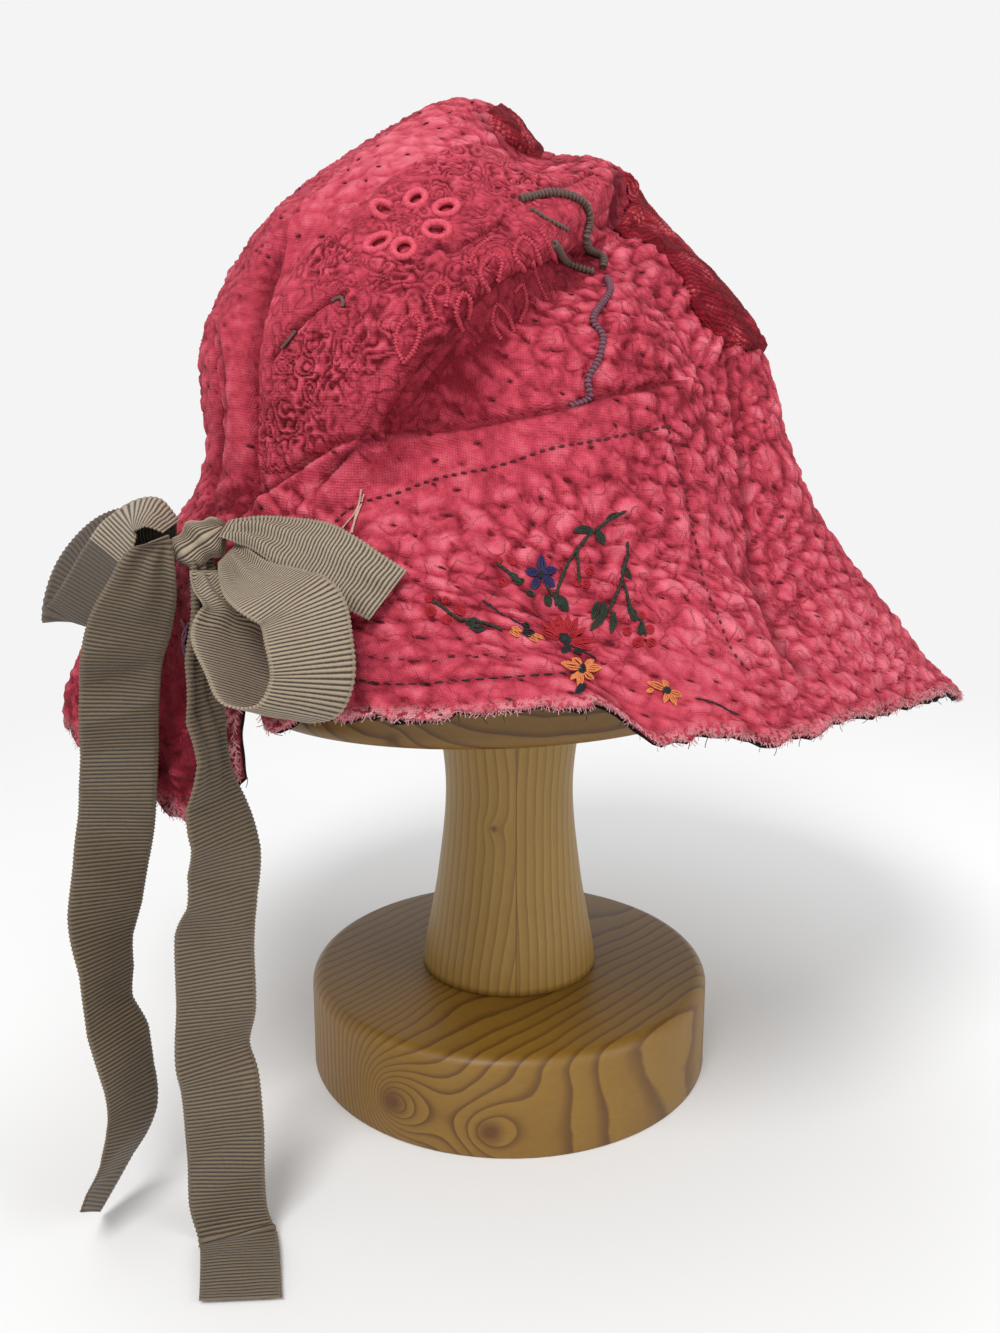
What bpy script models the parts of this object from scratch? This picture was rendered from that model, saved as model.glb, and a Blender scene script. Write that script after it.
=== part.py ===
# Quilted pink hat with a grosgrain bow, resting on its pine hat stand.
# Metres, +Z up. The origin is the centre of the underside of the stand's base.
# The hat's front points to front_azimuth, and its slit and bow are at the back.
# A turn is an angle in degrees on from the back, round by the near side.

import bpy
import bmesh
import math
import numpy as np
from mathutils import Vector
from mathutils.bvhtree import BVHTree

mm = 0.001
clearance = 0.3 * mm
seat_gap = 0.3 * mm

# Stand
base_radius = 75 * mm
base_height = 35 * mm
base_edge_radius = 4.5 * mm
neck_foot_radius = 33 * mm
neck_waist_radius = 23.8 * mm
neck_top_radius = 27 * mm
neck_length = 105 * mm
block_length = 186 * mm
block_width = 166 * mm
block_wall_height = 60 * mm
block_edge_radius = 5 * mm
block_crown_angle = 82.0
block_offset = (-5 * mm, 3 * mm)

# Hat
front_azimuth = 48.0
hat_length = 300 * mm
hat_width = 250 * mm
hat_height = 240 * mm
hat_foot = 100 * mm
oval_power = 2.1
shell_wall = 2.4 * mm
lining_wall = 1.0 * mm
patch_wall = 1.0 * mm
slit_height = 0.41
slit_lean = 15.0
flap_lean = 8.0
slit_opening = 1.2
flap_tuck = 25 * mm
flap_tuck_turns = (312, 350)
near_tuck = 9 * mm
near_tuck_turns = (15, 50)
shell_columns = 64
crown_rows = 11
brim_rows = 5

# Trim
eyelet_radius = 2.55 * mm
eyelet_cord = 0.75 * mm
rosette_radius = 10.5 * mm
stem_radius = 1.2 * mm
stem_steps = 4
trim_lift = 0.45 * mm

# Ribbon
ribbon_width = 22 * mm
ribbon_wall = 1.0 * mm
knot_turn = 0.3
knot_rise = 0.425
knot_out = 11.93 * mm
knot_length = 14.4 * mm
knot_depth = 12.4 * mm
knot_height = 12.5 * mm
knot_edge_radius = 3.5 * mm

# Sections of the bell from the crown's top to below the hem.
# height is a share of hat_height above hat_foot, front and back are shares
# of hat_length, far and near are shares of hat_width.
section_columns = ("height", "front", "far", "back", "near")
sections = (
    (1.000, 0.000, 0.000, 0.000, 0.000),
    (0.990, 0.050, 0.075, 0.080, 0.050),
    (0.950, 0.113, 0.142, 0.138, 0.118),
    (0.878, 0.170, 0.240, 0.222, 0.182),
    (0.811, 0.218, 0.308, 0.276, 0.238),
    (0.742, 0.266, 0.355, 0.309, 0.296),
    (0.673, 0.320, 0.385, 0.332, 0.344),
    (0.603, 0.343, 0.388, 0.335, 0.366),
    (0.531, 0.360, 0.384, 0.332, 0.388),
    (0.458, 0.390, 0.416, 0.352, 0.416),
    (0.380, 0.440, 0.490, 0.402, 0.460),
    (0.308, 0.502, 0.546, 0.452, 0.510),
    (0.229, 0.574, 0.580, 0.486, 0.560),
    (0.162, 0.645, 0.590, 0.500, 0.615),
    (0.000, 0.710, 0.570, 0.490, 0.650),
)

# The hem all round, from the slit's near edge to the far flap's edge.
hem_columns = ("turn", "share of hat_height above hat_foot")
hem = (
    (15, 0.235),
    (22, 0.256),
    (36, 0.264),
    (50, 0.276),
    (54, 0.272),
    (59, 0.235),
    (66, 0.238),
    (73, 0.221),
    (90, 0.222),
    (111, 0.199),
    (127, 0.168),
    (150, 0.170),
    (200, 0.200),
    (250, 0.200),
    (300, 0.190),
    (328, 0.165),
    (345, 0.120),
    (360, 0.078),
    (368, 0.095),
    (375, 0.150),
)

# Dents and folds. rise lifts the cloth to the left of the route and dip sinks
# it to the right, both as shares of hat_length, as are the reaches and the
# width of the step between them. A route is (turn, share of hat_height above
# hat_foot) places on the bell.
fold_columns = ("rise", "rise_reach", "dip", "dip_reach", "step", "route")
folds = {
    "patch_fold": (0.018, 0.110, 0.022, 0.075, 0.020,
                   ((88, 0.85), (56, 0.77), (40, 0.66), (27, 0.555))),
    "top_hollow": (-0.034, 0.050, 0.034, 0.050, 0.010,
                   ((58, 0.90), (90, 0.955), (150, 0.97), (205, 0.90))),
    "back_pleat": (-0.012, 0.020, 0.012, 0.020, 0.010,
                   ((2, 0.76), (-1, 0.62), (-1, 0.47))),
    "back_tube": (0.012, 0.040, -0.012, 0.040, 0.010,
                  ((-4, 0.80), (-9, 0.68), (-8, 0.55))),
    "far_pleat": (-0.014, 0.018, 0.014, 0.018, 0.010,
                  ((-17, 0.70), (-14, 0.59), (-18, 0.50))),
    "side_ridge": (0.010, 0.060, -0.010, 0.060, 0.010,
                   ((100, 0.84), (104, 0.72), (108, 0.62))),
    "front_fold": (-0.016, 0.050, 0.016, 0.050, 0.010,
                   ((86, 0.70), (92, 0.60), (90, 0.45), (86, 0.33))),
    "brim_wave": (0.014, 0.090, -0.014, 0.090, 0.010,
                  ((104, 0.48), (112, 0.32), (116, 0.20))),
    "flap_fold": (-0.020, 0.040, 0.020, 0.040, 0.010,
                  ((372, 0.34), (362, 0.22), (350, 0.16))),
}

# The pieced panel with cut work, drawn in the side view from the near side:
# across is a share of hat_length from the stand's axis, height a share of
# hat_height above hat_foot.
panel_outline = (
    (-0.243, 0.500), (-0.247, 0.592), (-0.230, 0.671), (-0.200, 0.746),
    (-0.150, 0.800), (-0.107, 0.860), (-0.033, 0.905), (0.033, 0.885),
    (0.088, 0.880), (0.104, 0.840), (0.043, 0.771), (0.007, 0.713),
    (-0.030, 0.658), (-0.057, 0.608), (-0.093, 0.554), (-0.170, 0.528),
)
panel_turns = (-14, 118)
panel_reach = (0.18, 1.0)

# The raw red front panel lies between two turns. A reach is how far down the
# crown a panel starts and ends, as shares of the way from its top to the slit.
red_turns = (122, 200)
red_reach = (0.18, 0.64)

rosette_place = (-0.095, 0.787)
eyelet_turns = (76, 26, -15, -111, -150, 152)

# The wrapped stem's pieces, in the same side view.
stems = {
    "grey_stem": ((0.007, 0.812), (0.037, 0.825), (0.067, 0.821), (0.073, 0.800),
                  (0.070, 0.779), (0.090, 0.767), (0.090, 0.752)),
    "grey_stem_branch": ((0.037, 0.762), (0.057, 0.750), (0.078, 0.743)),
    "grey_stem_thread": ((0.018, 0.800), (0.034, 0.788), (0.050, 0.783)),
    "purple_stem": ((0.093, 0.735), (0.093, 0.712), (0.073, 0.679), (0.083, 0.658),
                    (0.077, 0.629), (0.067, 0.608), (0.070, 0.588), (0.053, 0.579)),
}
stem_thickness = {"grey_stem": 1.3, "grey_stem_branch": 1.1, "grey_stem_thread": 0.5, "purple_stem": 1.0}

# Stations along each ribbon piece. across, away and up are shares of
# ribbon_width from the knot, except that a tail's up is a share of the knot's
# height above the floor. facing and lean are the direction of the ribbon's
# width in degrees, and span is a share of ribbon_width.
station_columns = ("across", "away", "up", "facing", "lean", "span")
loops = {
    "left_loop": (
        (-0.375, 0.04, 0.20, 90, 19, 0.50),
        (-0.62, 0.09, 0.36, 100, 20, 0.90),
        (-0.89, 0.13, 0.31, 112, 18, 1.00),
        (-1.07, 0.09, 0.09, 130, 16, 1.00),
        (-1.33, 0.13, -0.36, 144, 13, 1.00),
        (-1.60, 0.18, -0.84, 152, 8, 1.00),
        (-1.78, 0.36, -1.07, 153, 8, 1.00),
        (-1.91, 0.53, -0.89, 153, 8, 1.00),
        (-1.73, 0.62, -0.40, 150, 8, 1.00),
        (-1.33, 0.62, 0.09, 146, 12, 1.00),
        (-0.80, 0.58, 0.31, 135, 16, 0.80),
        (-0.385, 0.34, 0.16, 119, 18, 0.45),
    ),
    "right_loop": (
        (0.40, -0.24, -0.12, 60, 40, 0.36),
        (0.76, -0.90, -0.34, 38, 28, 0.66),
        (1.20, -1.52, -0.42, 36, 22, 0.96),
        (1.56, -1.78, -0.58, 36, 24, 1.00),
        (1.71, -2.12, -0.92, 36, 14, 1.00),
        (1.76, -2.30, -1.31, 36, 0, 1.00),
        (1.58, -2.34, -1.64, 36, -12, 1.00),
        (1.14, -2.14, -1.69, 38, -22, 1.00),
        (0.84, -1.69, -1.42, 38, -24, 1.00),
        (0.67, -1.38, -1.18, 38, -20, 1.00),
        (0.58, -1.11, -0.98, 36, -16, 0.90),
        (0.58, -0.89, -0.76, 34, -16, 0.75),
        (0.31, -0.67, -0.53, 25, -12, 0.50),
        (0.13, -0.38, -0.33, 20, -5, 0.35),
    ),
    "ribbon_end": (
        (0.33, -0.09, 0.18, -92, -30, 0.35),
        (0.78, -0.27, 0.17, -100, -38, 0.56),
        (1.44, -0.68, -0.02, -106, -50, 0.84),
        (1.86, -1.00, -0.22, -112, -56, 0.96),
        (2.18, -1.20, -0.40, -140, -50, 1.00),
        (2.49, -1.28, -0.58, -155, -46, 1.00),
    ),
}
tails = {
    "left_tail": (
        (-0.42, -0.36, 1.008, 60, 30, 0.36),
        (-0.53, -0.44, 0.980, 30, -10, 0.62),
        (-0.67, -0.36, 0.936, 22, -14, 0.85),
        (-0.89, -0.22, 0.886, 18, -10, 1.00),
        (-1.07, -0.09, 0.837, 12, -4, 1.00),
        (-1.22, 0.13, 0.767, 14, 0, 1.00),
        (-1.34, 0.22, 0.634, 10, 0, 1.00),
        (-1.44, 0.13, 0.545, 24, 0, 1.00),
        (-1.56, 0.00, 0.455, 44, 0, 1.00),
        (-1.55, -0.13, 0.386, 64, 0, 1.00),
        (-1.47, -0.27, 0.322, 73, 0, 1.00),
        (-1.31, -0.40, 0.272, 68, 0, 1.00),
        (-1.17, -0.53, 0.203, 68, -12, 1.00),
        (-1.20, -0.62, 0.149, 74, -28, 1.00),
        (-1.44, -0.76, 0.089, 88, -36, 1.00),
        (-1.64, -1.06, 0.046, 96, -37, 1.00),
    ),
    "right_tail": (
        (0.04, -0.18, 0.963, 60, 0, 0.35),
        (0.09, -0.40, 0.911, 75, 0, 0.50),
        (0.04, -0.62, 0.842, 75, 0, 0.55),
        (0.18, -0.80, 0.752, 78, 0, 0.70),
        (0.27, -0.93, 0.698, 72, 0, 0.85),
        (0.31, -0.93, 0.639, 57, 0, 1.00),
        (0.34, -0.89, 0.584, 50, 0, 1.00),
        (0.30, -0.89, 0.525, 40, 0, 1.00),
        (0.15, -0.84, 0.460, 26, 0, 1.00),
        (0.11, -0.80, 0.356, 16, 0, 1.00),
        (0.04, -0.80, 0.282, 32, 0, 1.00),
        (0.13, -0.89, 0.238, 18, 0, 1.00),
        (0.18, -0.98, 0.168, 6, 0, 1.00),
        (0.18, -1.02, 0.059, 4, 0, 1.00),
        (0.27, -1.07, 0.017, 0, 0, 1.00),
        (0.38, -1.29, 0.010, -4, 0, 1.00),
        (0.60, -2.18, 0.010, -6, 0, 1.00),
    ),
}


def clear_scene():
    for item in list(bpy.data.objects):
        bpy.data.objects.remove(item, do_unlink=True)


def material(name, colour, roughness):
    made = bpy.data.materials.new(name)
    made.use_nodes = True
    shader = made.node_tree.nodes["Principled BSDF"]
    shader.inputs["Base Color"].default_value = (*colour, 1.0)
    shader.inputs["Roughness"].default_value = roughness
    return made


def add_object(name, vertices, faces, look):
    mesh = bpy.data.meshes.new(name)
    mesh.from_pydata([tuple(point) for point in vertices], [], faces)
    mesh.materials.append(look)
    made = bpy.data.objects.new(name, mesh)
    bpy.context.collection.objects.link(made)
    mesh.shade_smooth()
    mesh.set_sharp_from_angle(angle=math.radians(40))
    return made


def catmull(values, place):
    # A smooth curve through values, which stand at places 0, 1, 2 and so on.
    values = np.asarray(values, dtype=float)
    last = len(values) - 1
    place = np.clip(np.asarray(place, dtype=float), 0, last)
    left = np.minimum(np.floor(place).astype(int), last - 1)
    part = place - left
    before = values[np.maximum(left - 1, 0)]
    start = values[left]
    end = values[left + 1]
    after = values[np.minimum(left + 2, last)]
    if values.ndim > 1:
        part = part[..., None]
    bend = 2 * before - 5 * start + 4 * end - after
    twist = 3 * (start - end) + after - before
    return start + 0.5 * part * (end - before + part * (bend + part * twist))


def place_of(keys, wanted):
    # Where wanted lies between rising keys, as a place for catmull.
    return np.interp(wanted, keys, np.arange(len(keys)))


def smooth_step(value):
    value = np.clip(value, 0, 1)
    return value * value * (3 - 2 * value)


def rounded_edge(radius, height, edge, top=True, steps=4):
    rows = []
    for step in range(steps + 1):
        turn = math.pi / 2 * step / steps
        if top:
            rows.append((radius - edge * (1 - math.cos(turn)), height - edge * (1 - math.sin(turn))))
        else:
            rows.append((radius - edge * (1 - math.sin(turn)), height + edge * (1 - math.cos(turn))))
    return rows


def turned(name, profile, segments, look, outline, centre=(0.0, 0.0)):
    # A solid turned round Z: profile rows are (radius, height), bottom to top.
    vertices = []
    faces = []
    for radius, height in profile:
        for step in range(segments):
            along, across = outline(2 * math.pi * step / segments, radius)
            vertices.append((centre[0] + along, centre[1] + across, height))
    for row in range(len(profile) - 1):
        for step in range(segments):
            here = row * segments + step
            side = row * segments + (step + 1) % segments
            faces.append((here, side, side + segments, here + segments))
    last = (len(profile) - 1) * segments
    faces.append(tuple(range(segments - 1, -1, -1)))
    faces.append(tuple(range(last, last + segments)))
    return add_object(name, vertices, faces, look)


def round_outline(angle, radius):
    return radius * math.cos(angle), radius * math.sin(angle)


def block_outline(angle, radius):
    turn = math.radians(front_azimuth)
    along = radius * math.cos(angle) * block_length / block_width
    across = radius * math.sin(angle)
    return (along * math.cos(turn) - across * math.sin(turn),
            along * math.sin(turn) + across * math.cos(turn))


def build_stand(look):
    foot_round = 0.6 * mm
    base = [(base_radius - foot_round, 0.0), (base_radius, foot_round)]
    base += rounded_edge(base_radius, base_height, base_edge_radius)
    turned("stand_base", base, 52, look, round_outline)
    radii = (neck_foot_radius, neck_waist_radius * 1.14, neck_waist_radius, neck_top_radius)
    steps = 8
    neck = []
    for step in range(steps + 1):
        share = step / steps
        height = base_height + clearance + share * (neck_length - 2 * clearance)
        neck.append((float(catmull(radii, share * (len(radii) - 1))), height))
    turned("stand_neck", neck, 32, look, round_outline)


def dome_height(points, wall, rise):
    # Height of the block's dome over points, and where they lie inside it.
    turn = math.radians(front_azimuth)
    across_x = points[:, 0] - block_offset[0]
    across_y = points[:, 1] - block_offset[1]
    along = (across_x * math.cos(turn) + across_y * math.sin(turn)) * 2 / block_length
    side = (-across_x * math.sin(turn) + across_y * math.cos(turn)) * 2 / block_width
    reach = along ** 2 + side ** 2
    return wall + rise * np.sqrt(np.clip(1 - reach, 0, 1)), reach < 1


def build_block(look, cover):
    # The dome rises until it carries the lowest place of the hat's inner side.
    bottom = base_height + neck_length
    wall = bottom + block_wall_height
    low = 0.0
    high = hat_foot + hat_height - wall
    for _ in range(30):
        rise = (low + high) / 2
        dome, inside = dome_height(cover, wall, rise)
        room = np.min((cover[:, 2] - dome)[inside & (cover[:, 2] > wall)])
        if room > seat_gap:
            low = rise
        else:
            high = rise
    half = block_width / 2
    rows = rounded_edge(half, bottom, block_edge_radius, top=False)
    steps = 8
    for step in range(steps + 1):
        turn = math.radians(block_crown_angle) * step / steps
        rows.append((half * math.cos(turn), wall + low * math.sin(turn)))
    turned("head_block", rows, 52, look, block_outline, block_offset)


def bell_point(turn, level):
    # The bell's smooth surface at turn degrees and level rows down sections.
    scales = np.array((1, hat_length, hat_width, hat_length, hat_width))
    row = catmull(np.array(sections) * scales, level)
    angle = np.radians(turn)
    along = -np.cos(angle)
    across = -np.sin(angle)
    tiny = 0.001 * mm
    length = np.maximum(np.where(along >= 0, row[..., 1], row[..., 3]), tiny)
    width = np.maximum(np.where(across >= 0, row[..., 2], row[..., 4]), tiny)
    reach = (np.abs(along / length) ** oval_power + np.abs(across / width) ** oval_power) ** (-1 / oval_power)
    azimuth = math.radians(front_azimuth + 180) + angle
    height = hat_foot + row[..., 0] * hat_height
    return np.stack((block_offset[0] + reach * np.cos(azimuth),
                     block_offset[1] + reach * np.sin(azimuth), height), axis=-1)


def level_at(share):
    # The level whose height is share of hat_height above hat_foot.
    return place_of([-row[0] for row in sections], -np.asarray(share))


def shell_grid(columns, upper_rows, lower_rows):
    # Points over the bell, from the slit's near edge round to the far flap,
    # and from the crown's top down to the hem. Above the slit the first and
    # last columns meet.
    slit_level = float(level_at(slit_height))
    hem_turns = [row[0] for row in hem]
    hem_shares = [row[1] for row in hem]
    grid = np.zeros((columns + 1, upper_rows + lower_rows + 1, 3))
    dense = 160
    for column in range(columns + 1):
        share = column / columns
        hem_turn = slit_lean + share * 360
        hem_share = catmull(hem_shares, place_of(hem_turns, hem_turn))
        hem_level = float(level_at(hem_share))
        parts = ((0.0, slit_level, upper_rows), (slit_level, hem_level, lower_rows))
        row = 0
        for start, end, count in parts:
            level = np.linspace(start, end, dense)
            open_share = np.clip((level - slit_level) / (hem_level - slit_level), 0, 1)
            edge = np.where(share < 0.5, 1, -1) * np.abs(1 - 2 * share) ** 8
            lean = slit_lean + (flap_lean - slit_lean) * smooth_step((share - 0.8) / 0.2)
            turn = share * 360 + lean * open_share + slit_opening * edge * np.sqrt(open_share)
            points = bell_point(turn, level)
            far_share = (share * 360 - flap_tuck_turns[0]) / (flap_tuck_turns[1] - flap_tuck_turns[0])
            near_share = (near_tuck_turns[1] - turn) / (near_tuck_turns[1] - near_tuck_turns[0])
            tuck = flap_tuck * smooth_step(far_share) + near_tuck * smooth_step(near_share)
            tuck = tuck * smooth_step(open_share * 1.6)
            azimuth = math.radians(front_azimuth + 180) + np.radians(turn)
            points[:, 0] -= tuck * np.cos(azimuth)
            points[:, 1] -= tuck * np.sin(azimuth)
            run = np.concatenate(([0], np.cumsum(np.linalg.norm(np.diff(points, axis=0), axis=1))))
            wanted = np.linspace(0, run[-1], count + 1)
            for axis in range(3):
                grid[column, row:row + count + 1, axis] = np.interp(wanted, run, points[:, axis])
            row += count
    return grid


def grid_normals(grid, upper_rows):
    # Outward normals. Above the slit the columns wrap round.
    wrapped = np.concatenate((grid[-2:-1], grid, grid[1:2]), axis=0)
    around = wrapped[2:] - wrapped[:-2]
    open_rows = slice(upper_rows + 1, None)
    around[0, open_rows] = grid[1, open_rows] - grid[0, open_rows]
    around[-1, open_rows] = grid[-1, open_rows] - grid[-2, open_rows]
    down = np.gradient(grid, axis=1)
    normal = np.cross(down, around)
    normal[:, 0] = (0, 0, 1)
    length = np.linalg.norm(normal, axis=-1, keepdims=True)
    return normal / np.maximum(length, 1e-12)


def fold_shift(points, normals, row):
    # How far the fold moves each point along its normal.
    rise, rise_reach, dip, dip_reach, step, route = row
    places = np.array([bell_point(float(turn), float(level_at(share))) for turn, share in route])
    best = np.full(len(points), 1e9)
    side = np.zeros(len(points))
    for start, end in zip(places[:-1], places[1:]):
        along = end - start
        share = np.clip(((points - start) @ along) / (along @ along), 0, 1)
        offset = points - (start + share[:, None] * along)
        away = np.linalg.norm(offset, axis=1)
        left = np.cross(along / np.linalg.norm(along), normals)
        nearer = away < best
        best = np.where(nearer, away, best)
        side = np.where(nearer, np.sum(offset * left, axis=1), side)
    over = 0.5 * (1 + np.tanh(side / (step * hat_length)))
    up = rise * np.exp(-(best / (rise_reach * hat_length)) ** 2)
    down = dip * np.exp(-(best / (dip_reach * hat_length)) ** 2)
    return hat_length * (over * up - (1 - over) * down)


def folded_grid(columns, upper_rows, lower_rows):
    grid = shell_grid(columns, upper_rows, lower_rows)
    normals = grid_normals(grid, upper_rows)
    flat = grid.reshape(-1, 3)
    flat_normals = normals.reshape(-1, 3)
    shift = np.zeros(len(flat))
    for row in folds.values():
        shift += fold_shift(flat, flat_normals, row)
    shift = shift.reshape(grid.shape[:2])
    shift[:, 0] = shift[:, 0].mean()
    shift[-1, :upper_rows + 1] = shift[0, :upper_rows + 1]
    grid = grid + normals * shift[..., None]
    return grid, grid_normals(grid, upper_rows)


def layer_solid(name, outer, inner, look, upper_rows=0):
    # A closed solid between two grids of the same shape. Rows down to
    # upper_rows join at the first and last columns, and row 0 is then a point.
    columns = outer.shape[0] - 1
    rows = outer.shape[1] - 1
    closed = upper_rows > 0
    vertices = []
    index = {}
    for layer, grid in enumerate((outer, inner)):
        for column in range(columns + 1):
            for row in range(rows + 1):
                if closed and row == 0 and column > 0:
                    index[layer, column, row] = index[layer, 0, 0]
                elif closed and column == columns and row <= upper_rows:
                    index[layer, column, row] = index[layer, 0, row]
                else:
                    index[layer, column, row] = len(vertices)
                    vertices.append(grid[column, row])
    faces = []

    def add_face(*corners):
        kept = []
        for corner in corners:
            if index[corner] not in kept:
                kept.append(index[corner])
        if len(kept) > 2:
            faces.append(kept)

    for column in range(columns):
        for row in range(rows):
            add_face((0, column, row), (0, column, row + 1), (0, column + 1, row + 1))
            add_face((0, column, row), (0, column + 1, row + 1), (0, column + 1, row))
            add_face((1, column, row), (1, column + 1, row + 1), (1, column, row + 1))
            add_face((1, column, row), (1, column + 1, row), (1, column + 1, row + 1))
        add_face((0, column, rows), (1, column, rows), (1, column + 1, rows), (0, column + 1, rows))
        if not closed:
            add_face((0, column + 1, 0), (1, column + 1, 0), (1, column, 0), (0, column, 0))
    for row in range(upper_rows if closed else 0, rows):
        add_face((0, 0, row), (1, 0, row), (1, 0, row + 1), (0, 0, row + 1))
        add_face((0, columns, row + 1), (1, columns, row + 1), (1, columns, row), (0, columns, row))
    return add_object(name, vertices, faces, look)


def build_hat(pink, black, red):
    grid, normals = folded_grid(shell_columns, crown_rows, brim_rows)
    inner = grid - normals * shell_wall
    layer_solid("hat_shell", grid, inner, pink, crown_rows)
    band = slice(crown_rows + 1, None)
    top = grid - normals * (shell_wall + clearance)
    under = grid - normals * (shell_wall + clearance + lining_wall)
    layer_solid("brim_lining", top[:, band], under[:, band], black)
    build_panel(grid, normals, pink)
    build_red_panel(grid, normals, red)
    return inner[:, :crown_rows].reshape(-1, 3)


def patch_grids(grid, normals, turns, reach):
    # The part of the shell between two turns and two rows, lifted off it.
    first = round(turns[0] / 360 * shell_columns)
    last = round(turns[1] / 360 * shell_columns)
    picked = [column % shell_columns for column in range(first, last + 1)]
    span = slice(round(reach[0] * crown_rows), round(reach[1] * crown_rows) + 1)
    points = grid[picked, span]
    out = normals[picked, span]
    return points + out * (clearance + patch_wall), points + out * clearance


def side_view(across, height, depth):
    return Vector((across * hat_length, depth, hat_foot + height * hat_height))


def build_panel(grid, normals, look):
    outer, inner = patch_grids(grid, normals, panel_turns, panel_reach)
    panel = layer_solid("cutwork_panel", outer, inner, look)
    cutter_mesh = bpy.data.meshes.new("panel cutter")
    shape = bmesh.new()
    corners = [shape.verts.new(side_view(across, height, -hat_length)) for across, height in panel_outline]
    face = shape.faces.new(corners)
    swept = bmesh.ops.extrude_face_region(shape, geom=[face])
    moved = [item for item in swept["geom"] if isinstance(item, bmesh.types.BMVert)]
    bmesh.ops.translate(shape, verts=moved, vec=(0, hat_length * 1.2, 0))
    bmesh.ops.recalc_face_normals(shape, faces=shape.faces)
    shape.to_mesh(cutter_mesh)
    shape.free()
    cutter = bpy.data.objects.new("panel_cutter", cutter_mesh)
    bpy.context.collection.objects.link(cutter)
    cutter.hide_render = True
    cutter.display_type = "WIRE"
    trim = panel.modifiers.new("outline", "BOOLEAN")
    trim.operation = "INTERSECT"
    trim.solver = "EXACT"
    trim.object = cutter


def build_red_panel(grid, normals, look):
    outer, inner = patch_grids(grid, normals, red_turns, red_reach)
    layer_solid("red_front_panel", outer, inner, look)


def evaluated_tree(names):
    # A search tree over the finished faces of the named objects.
    bpy.context.view_layer.update()
    graph = bpy.context.evaluated_depsgraph_get()
    points = []
    polygons = []
    for name in names:
        piece = bpy.data.objects[name].evaluated_get(graph)
        mesh = piece.to_mesh()
        start = len(points)
        points += [piece.matrix_world @ vertex.co for vertex in mesh.vertices]
        polygons += [[start + corner for corner in face.vertices] for face in mesh.polygons]
        piece.to_mesh_clear()
    return BVHTree.FromPolygons(points, polygons)


def on_near_side(tree, across, height, lift):
    # The place in the side view cast on the near side, and lifted off it.
    start = side_view(across, height, -hat_length)
    place, normal, _, _ = tree.ray_cast(start, Vector((0, 1, 0)))
    if normal.y > 0:
        normal = -normal
    return place + normal * lift, normal


def clear_of(tree, place, distance):
    # Moves place away from the cloth until it is distance clear of it.
    for _ in range(6):
        near, _, _, gap = tree.find_nearest(place)
        if gap < distance:
            place = near + (place - near).normalized() * distance
    return place


def build_eyelets(look, tree):
    # The rings share one direction, and each is lifted until it clears the cloth.
    spots = []
    for turn in eyelet_turns:
        angle = math.radians(turn)
        across = rosette_place[0] + rosette_radius * math.cos(angle) / hat_length
        height = rosette_place[1] + rosette_radius * math.sin(angle) / hat_height
        spots.append(on_near_side(tree, across, height, 0))
    facing = sum((normal for _, normal in spots), Vector()).normalized()
    upright = facing.to_track_quat("Z", "Y")
    for number, (place, _) in enumerate(spots, start=1):
        rim = [upright @ Vector((math.cos(math.tau * step / 12), math.sin(math.tau * step / 12), 0))
               for step in range(12)]
        lift = 0
        for side in rim:
            edge = place + side * eyelet_radius
            cloth, _, _, _ = tree.ray_cast(edge + facing * ribbon_width, -facing)
            lift = max(lift, (cloth - edge).dot(facing))
        bpy.ops.mesh.primitive_torus_add(
            major_radius=eyelet_radius, minor_radius=eyelet_cord,
            major_segments=12, minor_segments=6, rotation=upright.to_euler(),
            location=place + facing * (lift + eyelet_cord + trim_lift))
        ring = bpy.context.object
        ring.name = f"eyelet_{number}"
        ring.data.materials.append(look)
        ring.data.shade_smooth()


def build_stems(looks, tree):
    for name, places in stems.items():
        thickness = stem_radius * stem_thickness[name]
        route = []
        steps = stem_steps * (len(places) - 1)
        for step in range(steps + 1):
            across, height = catmull(places, step / stem_steps)
            place, _ = on_near_side(tree, across, height, thickness + trim_lift)
            route.append(place)
        for _ in range(4):
            for index in range(1, len(route) - 1):
                route[index] = (route[index - 1] + 2 * route[index] + route[index + 1]) / 4
            route = [clear_of(tree, place, thickness + trim_lift) for place in route]
        curve = bpy.data.curves.new(name, "CURVE")
        curve.dimensions = "3D"
        curve.bevel_depth = thickness
        curve.bevel_resolution = 1
        curve.use_fill_caps = True
        line = curve.splines.new("POLY")
        line.points.add(len(route) - 1)
        for point, place in zip(line.points, route):
            point.co = (*place, 1.0)
        curve.materials.append(looks[name])
        made = bpy.data.objects.new(name, curve)
        bpy.context.collection.objects.link(made)


def knot_centre():
    # The knot sits on the bell at its turn and its share of hat_height above hat_foot.
    azimuth = math.radians(front_azimuth + 180 + knot_turn)
    outward = np.array((math.cos(azimuth), math.sin(azimuth), 0))
    return bell_point(knot_turn, float(level_at(knot_rise))) + outward * knot_out


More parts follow.
